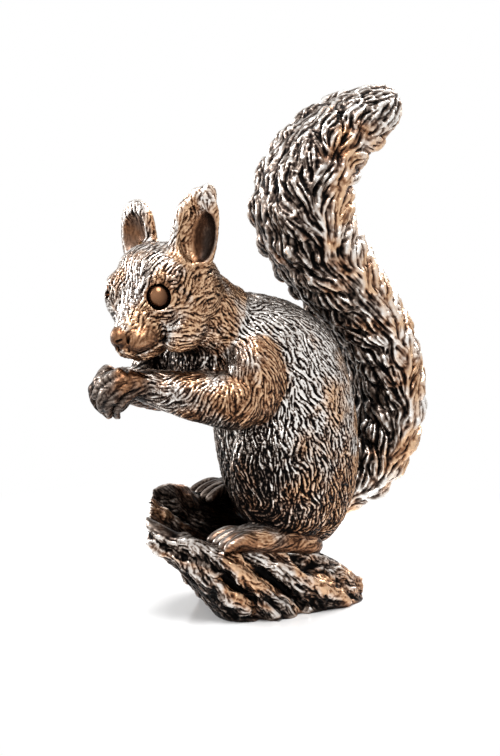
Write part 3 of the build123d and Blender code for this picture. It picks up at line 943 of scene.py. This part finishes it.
    # Fur along the middle line of the back, chest and belly.
    MIDDLE_GUIDES = (
        (-8, 0, 67, 0.9, 0, 0.15),
        (4, 0, 65, 0.9, 0, -0.3),
        (14, 0, 56, 0.45, 0, -0.9),
        (19, 0, 42, 0.1, 0, -1),
        (19, 0, 28, -0.05, 0, -1),
        (16, 0, 18, -0.4, 0, -0.9),
        (-20, 0, 54, 0.1, 0, -1),
        (-12, 0, 40, 0.2, 0, -0.98),
        (-6, 0, 26, 0.4, 0, -0.9),
    )
    # Fur of the head, in the head's own axes, mirrored where it lies to one side.
    FACE_GUIDES = (
        (15, 0, 2, -1, 0, 0.25),
        (8, 0, 8, -1, 0, 0.3),
        (0, 0, 10.5, -1, 0, 0),
        (-9, 0, 5, -0.6, 0, -0.8),
        (8, 6, -3, -1, 0.2, -0.3),
        (8, 3, -8, -1, 0, -0.1),
        (0, 10, 0, -1, 0, -0.25),
        (4, 8, 6, -1, 0.1, 0.3),
        (0, 7, 14, -0.35, 0.15, 0.92),
        (-4, 7, 20, -0.35, 0.15, 0.92),
    )

    def guides(self) -> Array:
        """Places and directions that the fur follows."""
        rows = [tuple(row) for row in self.MIDDLE_GUIDES]
        for x, y, z, dx, dy, dz in self.PAIRED_GUIDES:
            rows += [(x, y, z, dx, dy, dz), (x, -y, z, dx, -dy, dz)]
        for f, l, u, df, dl, du in self.FACE_GUIDES:
            for side in (1, -1) if l else (1,):
                course = np.array([df, side * dl, du]) @ self.head.axes
                rows.append((*self.head.at(f, side * l, u), *course))
        return np.array(rows, float)

    def model(self, wax: Volume, strokes: Iterable[Stroke], side: int = 1) -> None:
        """Presses strokes into the head.

        Args:
            wax: the form.
            strokes: the touches, in their order.
            side: 1, or -1 for the mirrored strokes.
        """
        for stroke in strokes:
            course = np.array([self.head.at(f, side * l, u) for f, l, u in stroke.course])
            if len(course) == 1:
                brush = Ball(course[0], stroke.radii, self.head.axes)
            else:
                brush = Strand(course, stroke.radii)
            wax.press(brush, stroke.fillet, stroke.way)

    def model_eyes(self, wax: Volume) -> None:
        """Forehead, sockets, lids and brows."""
        self.model(wax, self.FOREHEAD)
        for eye, bold in zip(self.head.eyes, self.LID_BOLD):
            axes = self.head.eye_axes(eye)
            gaze, across, upright = axes
            width, height = self.LID_RING
            turns = np.linspace(0, 2 * math.pi, 25)
            ring = np.outer(np.cos(turns), width * across) + np.outer(np.sin(turns), height * upright)
            thickness = [bold * (0.4 + 0.4 * max(0.0, math.sin(a))) for a in turns]
            wax.press(Ball(eye - 1.6 * gaze, (4.2, 4.2, 4.2)), 1.6)
            wax.press(Strand(eye + 0.9 * gaze + ring, thickness), 0.5)
            wax.press(Ball(eye + 1.4 * gaze, (3.4, 2.45, 2.7), axes), 0.2, Press.CARVE)
            brow = [eye + 0.6 * gaze + reach * across + rise * upright for reach, rise, _ in self.BROW]
            wax.press(Strand(np.array(brow), [bold * radius for _, _, radius in self.BROW]), 0.8)

    def model_muzzle(self, wax: Volume) -> None:
        """Nose, lip pads, cheeks, mouth and chin."""
        self.model(wax, self.CHIN_AND_NOSE)
        for side in (1, -1):
            self.model(wax, self.MUZZLE_SIDE, side)
        self.model(wax, self.LIP_CLEFT)

    def narrow_muzzle(self, points: Array, owners: Array) -> Array:
        """Points with the far side of the muzzle drawn in, so that the face tapers to the nose."""
        local = self.head.local(points)
        far = (local[:, 1] < 0.0) & (owners == Casting.HEAD)
        share = self.muzzle_taper * ease(10.5, 16.0, local[:, 0]) * far
        return points - (share * local[:, 1])[:, None] * self.head.left

    def model_ears(self, wax: Volume) -> None:
        """Leaning near ear with a hollow that opens to the outer side, and a hollow in the far one."""
        at = self.head.at
        for side, length, lean, facing in self.EARS:
            axis = unit(np.array([-0.37, 0.145 * side, 0.916]) @ self.head.axes)
            front = np.array(facing) @ self.head.axes
            front = unit(front - (front @ axis) * axis)
            out = np.cross(axis, front)
            axes = np.array([axis, out, front])
            root = at(0.0, 6.5 * side, 5.6)
            if lean:
                wax.press(Ball(root + 0.86 * length * axis + 1.6 * out, (3.6, 2.2, 1.2), axes), 0.8)
                for a, o in self.EAR_EDGE:
                    wax.press(Ball(root + a * axis + o * out, (3.0, 3.0, 9.0), axes), 0.4, Press.CARVE)
            hollow = root + 0.45 * length * axis + 1.1 * lean * out + 2.4 * front
            self.hollows.append(Ball(hollow, (0.29 * length, 2.4, 2.9), axes))
            wax.press(self.hollows[-1], 0.6, Press.CARVE)

    def model_paws(self, wax: Volume) -> None:
        """Hands that arch from the wrist to the knuckles, with long fingers curled round the nut."""
        for side in (-1, 1):
            flip = np.array([1.0, side, 1.0])
            shift = np.array(self.far_paw_shift) if side > 0 else np.zeros(3)
            drop = np.array(self.far_room_drop) if side > 0 else np.zeros(3)
            place, radii = self.FINGER_ROOM
            wax.press(Ball(np.array(place) * flip + drop, radii), 0.3, Press.CARVE)
            palm = np.array(self.HAND)
            hand = palm[:, :3] * flip + shift
            wax.press(Strand(hand, palm[:, 3].tolist()), 1.0)
            for finger in self.FINGERS:
                joints = np.array(finger)
                joints[:, :3] = joints[:, :3] * flip + shift
                bend = arc(joints)
                root = np.append(0.5 * hand[0] + 0.5 * bend[0, :3], 0.8)
                line = np.vstack([root, bend])
                wax.press(Strand(line[:, :3], (1.08 * line[:, 3]).tolist()), 0.2)
                wax.press(Ball(bend[3, :3], [1.3 * bend[3, 3]] * 3), 0.4)

    def model_body(self, wax: Volume) -> None:
        """Full forearms, and the far arm bent up under the chin."""
        for line in self.ARM_LINES:
            joints = np.array(line)
            wax.press(Strand(joints[:, :3], joints[:, 3].tolist()), self.arm_fillet)

    def bare(self, points: Array, owners: Array) -> Array:
        """Share of the fur's depth that each point keeps: none on lids, nose, lips, fingers and toes."""
        keep = np.ones(len(points))
        local = self.head.local(points)
        local[:, 1] = np.abs(local[:, 1])
        on_head = (owners >= Casting.HEAD) & (owners <= Casting.RIGHT_EAR)
        nose, lips = (
            np.linalg.norm((local - middle) / sizes, axis=1)
            for middle, sizes in (self.BARE_NOSE, self.BARE_LIPS)
        )
        face = ease(0.8, 1.2, nose) * (0.12 + 0.88 * ease(0.8, 1.25, lips))
        keep = np.where(on_head, keep * face, keep)
        for eye in self.head.eyes:
            keep *= ease(2.9, 3.7, np.linalg.norm(points - eye, axis=1))
        hand = 0.3 + 0.7 * ease(-35.5, -30.0, points[:, 0])
        keep = np.where(np.isin(owners, self.ARMS), keep * hand, keep)
        for hollow in self.hollows:
            keep *= ease(0.2, 0.9, hollow.distance(points))
        for foot, toe_x in ((Casting.LEFT_HIND_FOOT, -12.5), (Casting.RIGHT_HIND_FOOT, -6.0)):
            toes = 0.4 + 0.6 * ease(toe_x - 3.0, toe_x + 3.0, points[:, 0])
            keep = np.where(owners == foot, keep * toes, keep)
        return keep

    def build(self) -> None:
        """Models, tools and dresses the castings."""
        wax = Volume(self.NODES, self.voxel)
        for node, radius in zip(self.NODES[1:], self.BLENDS):
            wax.blend(node, radius)
        self.model_body(wax)
        self.model_eyes(wax)
        self.model_muzzle(wax)
        self.model_ears(wax)
        self.model_paws(wax)
        skin = wax.skin()
        owners = wax.owners(skin.points)
        skin.points = self.narrow_muzzle(skin.points, owners)
        crease = np.clip(skin.cavity(10) / 0.12, -1.0, 1.6)
        coats = skin.smoothed(np.array([coat.row() for coat in self.COATS])[owners], 12)
        # Painted shade where the form closes in over itself and in the near ear's hollow, along with the
        # patina kept in the folds.
        ear_hollow = ease(0.6, -0.6, self.hollows[0].distance(skin.points))
        shade = self.shades.folds * wax.shade(skin) + self.shades.ear_hollow * ear_hollow
        # Painted shade on the chest under the chin, behind the hands.
        chest = ease(10.0, 4.0, np.linalg.norm(skin.points - (-21.0, -1.0, 55.0), axis=1))
        shade += np.where(owners != Casting.LEFT_FORELEG, self.shades.chest * chest, 0.0)
        on_torso, on_head = owners == Casting.TORSO, owners == Casting.HEAD
        # A darker tone on the crown between the ears; painted shade low on the flanks and on the belly
        # behind the arms.
        crown = ease(2.5, 7.0, self.head.local(skin.points)[:, 2])
        shade += np.where(on_head, self.shades.crown * crown, 0.0)
        x, _, z = skin.points.T
        low = np.where(on_torso, ease(42.0, 27.0, z), 0.0)
        coats[:, Coat.WARMTH] += self.flank_warmth * low
        belly = ease(2.0, -9.0, x) * ease(50.0, 43.0, z)
        shade += self.shades.flank * low + np.where(on_torso, self.shades.belly * belly, 0.0)
        # The hands are made darker towards the fingers.
        shade += np.where(np.isin(owners, self.ARMS), self.shades.hands * ease(-29.0, -34.0, x), 0.0)
        comb = Comb(
            self.guides(),
            Ridges(0.36, 1.3),
            Ridges(0.44, 1.8),
            Ridges(1.6, 2.4),
            level=0.57,
            painted_top_light=1.1,
        )
        keep = self.bare(skin.points, owners)
        # Lids, nose and lips were left smooth and keep an even amber skin.
        smooth = np.where(on_head, 1.0 - keep, 0.0)
        coats[:, Coat.WARMTH] += self.bare_warmth * smooth
        shade += self.shades.bare_skin * smooth
        comb.carve(skin, coats, keep)
        skin.relief_and_painted_light = np.clip(skin.relief_and_painted_light - self.shades.creases * crease - shade, 0.0, 1.0)
        for piece in cut_apart(skin, owners, self.NODES):
            piece.place(self.finish, Slot.PATINA)


@dataclass
class EyePair:
    """Polished eye balls, a little taller than wide, with a shaded edge under the lids and a painted
    highlight high on the front.
    """

    finish: bpy.types.Material
    head: HeadFrame
    radii: tuple[float, float, float] = (2.55, 2.42, 2.68)
    rings: int = 32

    def build(self) -> None:
        """Makes both eyes."""
        for node, eye in zip(("left_eye", "right_eye"), self.head.eyes):
            axes = self.head.eye_axes(eye)
            tilt = np.linspace(0.0, math.pi, self.rings + 1)[1:-1]
            turn = np.linspace(0.0, 2 * math.pi, 2 * self.rings, endpoint=False)
            rows = [[(1.0, 0.0, 0.0)]]
            for a in tilt:
                ahead, out = math.cos(a), math.sin(a)
                rows.append([(ahead, out * math.cos(b), out * math.sin(b)) for b in turn])
            rows.append([(-1.0, 0.0, 0.0)])
            local = np.array([point for row in rows for point in row])
            count = len(turn)
            last = len(local) - 1
            faces = []
            for k in range(count):
                n = (k + 1) % count
                faces.append([0, 1 + k, 1 + n])
                faces.append([last, last - count + n, last - count + k])
                for r in range(len(tilt) - 1):
                    a, b = 1 + r * count, 1 + (r + 1) * count
                    faces.append([a + k, b + k, b + n, a + n])
            groove = np.exp(-(((local[:, 0] + 0.06) / 0.1) ** 2))
            points = eye + (local * (1.0 - 0.05 * groove)[:, None] * self.radii) @ axes
            normals = unit((local / self.radii) @ axes)
            # Painted highlight: a pale patch high on the front of each ball, fading to a dark brown round
            # it.
            painted_highlight = np.exp(-((local[:, 1] + 0.15) ** 2 + (local[:, 2] - 0.25) ** 2) / 1.6)
            relief_and_painted_light = 0.16 + 0.44 * painted_highlight * ease(-0.2, 0.1, local[:, 0]) - 0.1 * groove
            warmth = np.full(len(points), 0.6)
            Piece(node, points, faces, relief_and_painted_light, warmth, normals).place(self.finish, Slot.POLISHED)


@dataclass
class Hazelnut:
    """Nut with fine ribs from cap to point."""

    finish: bpy.types.Material
    voxel: float = 0.16
    radius: float = 4.0
    rib_mm: float = 0.9
    rib_depth: float = 0.12

    def build(self) -> None:
        """Models and dresses the nut."""
        skin = Volume(["hazelnut"], self.voxel).skin()
        middle = skin.points.mean(0)
        away = skin.points - middle
        turn = np.arctan2(away[:, 1], away[:, 0])
        count = round(2 * math.pi * self.radius / self.rib_mm)
        ribs = np.cos(turn * count + 3.0 * lattice_noise(skin.points, 3.0, 4))
        flat = ease(1.0, 2.4, np.hypot(away[:, 0], away[:, 1]))
        skin.points = skin.points + skin.normals() * (self.rib_depth * (ribs - 1.0) * flat)[:, None]
        skin.relief_and_painted_light = 0.35 + 0.15 * ribs * flat
        whole_piece("hazelnut", skin).place(self.finish, Slot.PATINA)


@dataclass
class TailPlume:
    """Tail with long locks that fan out from the parting on each side."""

    finish: bpy.types.Material
    voxel: float = 0.27
    coat: Coat = Coat(0.7, 0.75, 0.6, 0.42, 1.4, 0.06)
    half_width: float = 6.0
    fan_front: float = 0.75
    fan_back: float = 1.3
    front_shade: float = 0.32
    low_shade: float = 0.04
    even_light: float = 0.1
    # Y of the plume's middle plane, and the middle line in it, X and Z, root to tip.
    side: float = 2.0
    spine: tuple[tuple[float, float], ...] = (
        (13, 20),
        (20.9, 23.4),
        (27.9, 32.5),
        (29, 46),
        (22.9, 60),
        (13.5, 72.5),
        (8.5, 84),
        (12.5, 94.5),
        (20.2, 100.7),
        (27.4, 104),
        (31.4, 105.5),
    )

    def ahead_of_spine(self, points: Array) -> Array:
        """How far points lie in front of the middle line, on the side of the figure's back."""
        spine = np.array(self.spine)
        flat = points[:, [0, 2]]
        best = np.full(len(points), np.inf)
        ahead = np.zeros(len(points))
        for start, end in zip(spine[:-1], spine[1:]):
            run = end - start
            share = np.clip((flat - start) @ run / (run @ run), 0.0, 1.0)
            away = flat - start - share[:, None] * run
            near = np.linalg.norm(away, axis=1)
            side = (away[:, 1] * run[0] - away[:, 0] * run[1]) / np.linalg.norm(run)
            ahead = np.where(near < best, side, ahead)
            best = np.minimum(best, near)
        return ahead

    def guides(self) -> Array:
        """Directions up the plume that fan out to its front and back edges."""
        spine = np.array(self.spine)
        rows = []
        for i in range(1, len(spine) - 1):
            ahead = unit(spine[i + 1] - spine[i - 1])
            normal = np.array([-ahead[1], ahead[0]])
            for out in (-1, 0, 1):
                for y in (-9, 9):
                    place = spine[i] + self.half_width * out * normal
                    course = ahead + (self.fan_front if out > 0 else self.fan_back) * out * normal
                    rows.append((place[0], self.side + y, place[1], course[0], 0.0, course[1]))
        return np.array(rows)

    def build(self) -> None:
        """Models, tools and dresses the tail."""
        wax = Volume(["tail"], self.voxel)
        skin = wax.skin()
        crease = np.clip(skin.cavity(30) / 0.35, -1.0, 1.4)
        # Painted shade: darker where the plume closes in over itself and on the front half, turned to the
        # back of the figure and away from the lamps, more so lower down; the whole tail is first made a
        # little lighter as painted light.
        front = ease(-3.5, 4.5, self.ahead_of_spine(skin.points))
        low = ease(103.0, 80.0, skin.points[:, 2])
        shade = 0.2 * wax.shade(skin) - self.even_light
        shade += (self.front_shade + self.low_shade * low) * front
        ones = np.ones(len(skin.points))
        comb = Comb(
            self.guides(),
            Ridges(0.5, 2.0),
            Ridges(0.9, 3.4),
            Ridges(2.0, 4.5),
            wander_mm=3.0,
            level=0.52,
            seed=SEED + 70,
        )
        comb.carve(skin, np.outer(ones, self.coat.row()), ones)
        skin.relief_and_painted_light = np.clip(skin.relief_and_painted_light - 0.2 * crease - shade, 0.0, 1.0)
        whole_piece("tail", skin).place(self.finish, Slot.PATINA)


@dataclass
class SplitLog:
    """Hollow half log with slanting bark ridges outside and a worn trough inside."""

    finish: bpy.types.Material
    voxel: float = 0.27
    coat: Coat = Coat(0.25, 0.36, 0.6, 0.4, 1.25, 0.05)
    lumps: tuple[float, ...] = (2.6, 1.1, 0.55)
    slab_mm: float = 6.5
    slab_rise: float = 1.5
    slab_middle: float = 0.45
    # Main bark ridges and the clefts between them on the near side: X, Z and radius along each.
    ridges: tuple = (
        ((-35, 24, 1.5), (-25, 18, 2.2), (-15, 11, 2.4), (-6.5, 1, 1.8)),
        ((-18, 14, 1.4), (-9, 6.5, 2.0), (-3, 0.5, 1.8)),
        ((-8, 12, 1.2), (-1, 9.5, 1.9), (5, 4.5, 2.2), (11.5, 0.5, 1.6)),
        ((3, 15, 1.2), (9, 11, 1.6), (15, 5.5, 1.6)),
        ((-31, 19, 1.2), (-22, 10, 1.8), (-14, 2, 1.6)),
    )
    clefts: tuple = (
        ((-19, 10.5, 0.5), (-13.5, 6.5, 1.1), (-9, 1, 1.2)),
        ((-13, 12.5, 0.8), (-6, 7, 1.5), (0.5, 1.2, 1.3)),
        ((-1, 13, 0.6), (4, 9.2, 1.0), (8, 6.2, 0.8)),
        ((-25, 11, 0.4), (-20, 6.5, 0.9), (-15, 1, 0.8)),
    )

    def near_face(self, wax: Volume, line: Sequence[Sequence[float]], sink: float) -> Strand | None:
        """Brush along a line on the near bark.

        Args:
            wax: the log.
            line: X, Z and radius of each point.
            sink: how deep the middle of the brush lies.

        Returns:
            The brush, or None where fewer than two points meet the log.
        """
        y = np.arange(-18.0, 2.0, 0.1)
        course = []
        for x, z, radius in line:
            row = np.stack([np.full_like(y, x), y, np.full_like(y, z)], axis=1)
            inside = np.flatnonzero(wax.sample(wax.distance, row) < 0.0)
            if len(inside):
                course.append((x, y[inside[0]] + sink, z, radius))
        if len(course) < 2:
            return None
        points = np.array(course)
        return Strand(points[:, :3], points[:, 3].tolist())

    def slabs(self, points: Array) -> Array:
        """Height from 0 to 1 of overlapping slabs of bark, which rise across and end at a cleft."""
        across = points @ np.array([0.6, 0.0, 0.8]) + 5.0 * lattice_noise(points, 9.0, 51)
        share = (across / self.slab_mm) % 1.0
        return share - ease(0.82, 1.0, share)

    def guides(self) -> Array:
        """Grain of the bark, slanting down to the right on every side."""
        rows = []
        for x in (-32, -20, -8, 4, 16):
            for y in (-12, 0, 12):
                rows += [(x, y, z, 0.8, 0.0, -0.6 if x < 5 else -0.5) for z in (3, 14)]
        return np.array(rows, float)

    def build(self) -> None:
        """Models, tools and dresses the log."""
        wax = Volume(["log_base"], self.voxel)
        for way, lines, sink in ((Press.ADD, self.ridges, 0.9), (Press.CARVE, self.clefts, 0.2)):
            for line in lines:
                brush = self.near_face(wax, line, sink)
                if brush:
                    wax.press(brush, 0.8, way)
        skin = wax.skin()
        normals = skin.normals()
        trough = ease(0.25, 0.7, normals[:, 2]) * ease(11.0, 8.5, np.abs(skin.points[:, 1]))
        floor = ease(1.4, 0.3, skin.points[:, 2])
        lumps = sum(
            size * (lattice_noise(skin.points, size, 30 + i) - 0.5) for i, size in enumerate(self.lumps)
        )
        bark = (1.0 - floor) * (1.0 - 0.7 * trough)
        slabs = self.slabs(skin.points) - self.slab_middle
        rise = 0.4 * lumps + self.slab_rise * slabs * (1.0 - trough)
        skin.points = skin.points + normals * (bark * rise)[:, None]
        coats = np.tile(self.coat.row(), (len(skin.points), 1))
        coats[:, Coat.WARMTH] += 0.3 * slabs
        comb = Comb(
            self.guides(),
            Ridges(0.36, 1.3),
            Ridges(0.9, 2.4),
            Ridges(2.2, 8.0),
            level=0.44,
            seed=SEED + 140,
        )
        comb.carve(skin, coats, (1.0 - 0.85 * trough) * (1.0 - floor))
        skin.points[:, 2] = np.maximum(skin.points[:, 2], 0.0)
        crease = np.clip(skin.cavity(30) / 0.3, -1.0, 1.5) + np.clip(skin.cavity(80) / 0.7, -0.6, 1.5)
        # Painted light on the upper edges of the bark slabs, darker towards the clefts under them;
        # painted shade on faces turned down, and the trough made darker.
        lit = 0.25 * slabs * (1.0 - trough)
        shade = 0.26 * trough + 0.3 * ease(0.0, -0.5, skin.smoothed(normals[:, 2], 20))
        skin.relief_and_painted_light = np.clip(0.1 + 0.75 * skin.relief_and_painted_light - 0.2 * crease - shade + lit, 0.0, 0.82)
        whole_piece("log_base", skin).place(self.finish, Slot.PATINA)


@dataclass
class Fastenings:
    """Dowels, pins, studs, washers and nuts inside the figure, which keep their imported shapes."""

    BRASS_NODES = ("neck_dowel", "tail_dowel", "shoulder_dowels", "ear_pins")
    STEEL_NODES = ("foot_studs", "stud_washers", "stud_nuts")

    def build(self) -> None:
        """Dresses the fastenings."""
        # Drawn brass rod, bright where it was turned.
        brass = TurnedMetal("drawn_brass_rod", "#c9a558", "#a9853f", 0.28).build()
        # Zinc-plated steel: a cool, slightly cloudy grey.
        steel = TurnedMetal("zinc_plated_steel", "#b4b7ba", "#93979b", 0.34).build()
        for material, nodes in ((brass, self.BRASS_NODES), (steel, self.STEEL_NODES)):
            for node in nodes:
                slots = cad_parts[node].data.materials
                slots.clear()
                slots.append(material)
                log.info("%s keeps its packed shape", node)


@dataclass
class Studio:
    """Pale floor, soft lights and the camera at the photograph's angle, in metres."""

    azimuth: float = -28.0
    elevation: float = 12.0
    distance: float = 0.6
    target: tuple[float, float, float] = (-0.00476, 0.0, 0.049)
    lens: float = 136.0
    floor_half: float = 1.5
    floor_fade: tuple[float, float] = (0.03, 0.11)
    world_light: float = 0.45
    # Soft boxes: name, place, size and watts.
    lamps: tuple = (
        ("left_box", (-0.5, 0.42, 0.25), 0.35, 5.0),
        ("right_box", (0.5, 0.2, 0.45), 0.35, 4.0),
        ("top_box", (-0.15, -0.25, 0.6), 0.3, 4.0),
    )

    def camera(self) -> None:
        """Adds the camera."""
        data = bpy.data.cameras.new("photo_camera")
        data.lens = self.lens
        data.sensor_width = 36.0
        data.clip_start = 0.01
        camera = link_object("photo_camera", data)
        a, e = math.radians(self.azimuth), math.radians(self.elevation)
        back = Vector((math.sin(a) * math.cos(e), -math.cos(a) * math.cos(e), math.sin(e)))
        camera.location = Vector(self.target) + back * self.distance
        camera.rotation_euler = back.to_track_quat("Z", "Y").to_euler()
        bpy.context.scene.camera = camera

    def lamp(self, name: str, place: Sequence[float], size: float, watts: float) -> None:
        """Adds a square soft box that faces the figure."""
        data = bpy.data.lights.new(name, "AREA")
        data.size = size
        data.energy = watts
        lamp = link_object(name, data)
        lamp.location = place
        lamp.rotation_euler = (Vector(place) - Vector(self.target)).to_track_quat("Z", "Y").to_euler()

    def seen(self, tree: bpy.types.NodeTree) -> bpy.types.NodeSocket:
        """One where a camera, glossy or transmission ray looks, zero for the light on the figure.

        Args:
            tree: node tree of the world or the floor.

        Returns:
            The socket with the answer.
        """
        path = add_node(tree, "ShaderNodeLightPath")
        seen = path.outputs["Is Camera Ray"]
        for name in ("Is Glossy Ray", "Is Transmission Ray"):
            either = {"operation": "MAXIMUM"}
            seen = add_node(tree, "ShaderNodeMath", either, i0=seen, i1=path.outputs[name]).outputs[0]
        return seen

    def world(self) -> None:
        """White to the eye and in reflections, dimmer as a light."""
        world = bpy.data.worlds.new("studio")
        bpy.context.scene.world = world
        world.use_nodes = True
        tree = world.node_tree
        strength = add_node(
            tree, "ShaderNodeMapRange", Value=self.seen(tree), To_Min=self.world_light, To_Max=1.0
        )
        tree.links.new(strength.outputs["Result"], tree.nodes["Background"].inputs["Strength"])
        tree.nodes["Background"].inputs["Color"].default_value = (1.0, 1.0, 1.0, 1.0)

    def floor(self) -> None:
        """Adds the pale floor, which turns into plain white away from the figure."""
        mesh = bpy.data.meshes.new("floor")
        half = self.floor_half
        corners = [(-half, -half, 0), (half, -half, 0), (half, half, 0), (-half, half, 0)]
        mesh.from_pydata(corners, [], [(0, 1, 2, 3)])
        floor = link_object("floor", mesh)
        # White acrylic sheet: polished, so it mirrors the log faintly and softly.
        material, tree, shader = new_material("white_acrylic_sheet")
        shader.inputs["Base Color"].default_value = linear("#f6f6f6")
        shader.inputs["Roughness"].default_value = 0.15
        place = add_node(tree, "ShaderNodeTexCoord")
        away = add_node(tree, "ShaderNodeVectorMath", {"operation": "LENGTH"}, i0=place.outputs["Object"])
        fade = add_node(
            tree,
            "ShaderNodeMapRange",
            {"interpolation_type": "SMOOTHSTEP"},
            Value=away.outputs["Value"],
            From_Min=self.floor_fade[0],
            From_Max=self.floor_fade[1],
        ).outputs["Result"]
        seen = add_node(tree, "ShaderNodeMath", {"operation": "MULTIPLY"}, i0=fade, i1=self.seen(tree))
        white = add_node(tree, "ShaderNodeEmission", Color=(1.0, 1.0, 1.0, 1.0), Strength=1.0)
        mix = add_node(
            tree, "ShaderNodeMixShader", i0=seen.outputs[0], i1=shader.outputs[0], i2=white.outputs[0]
        )
        tree.links.new(mix.outputs[0], tree.nodes["Material Output"].inputs["Surface"])
        mesh.materials.append(material)

    def build(self) -> None:
        """Sets the stage."""
        bpy.context.scene.view_settings.view_transform = "Standard"
        self.camera()
        self.world()
        self.floor()
        for lamp in self.lamps:
            self.lamp(*lamp)


def main() -> None:
    """Builds every piece and reports it."""
    logging.basicConfig(level=logging.INFO, format="%(name)s: %(message)s")
    head = HeadFrame()
    patina = BronzeFinish("patinated_cast_bronze").build()
    # Eyes were burnished after the patina: the same brown and smoother; their pale patch is painted
    # highlight.
    burnished = BronzeFinish("burnished_bronze", rough_groove=0.3, rough_crest=0.16).build()
    Figure(patina, head).build()
    EyePair(burnished, head).build()
    Hazelnut(patina).build()
    TailPlume(patina).build()
    SplitLog(patina).build()
    Fastenings().build()
    Studio().build()


if __name__ == "__main__":
    main()
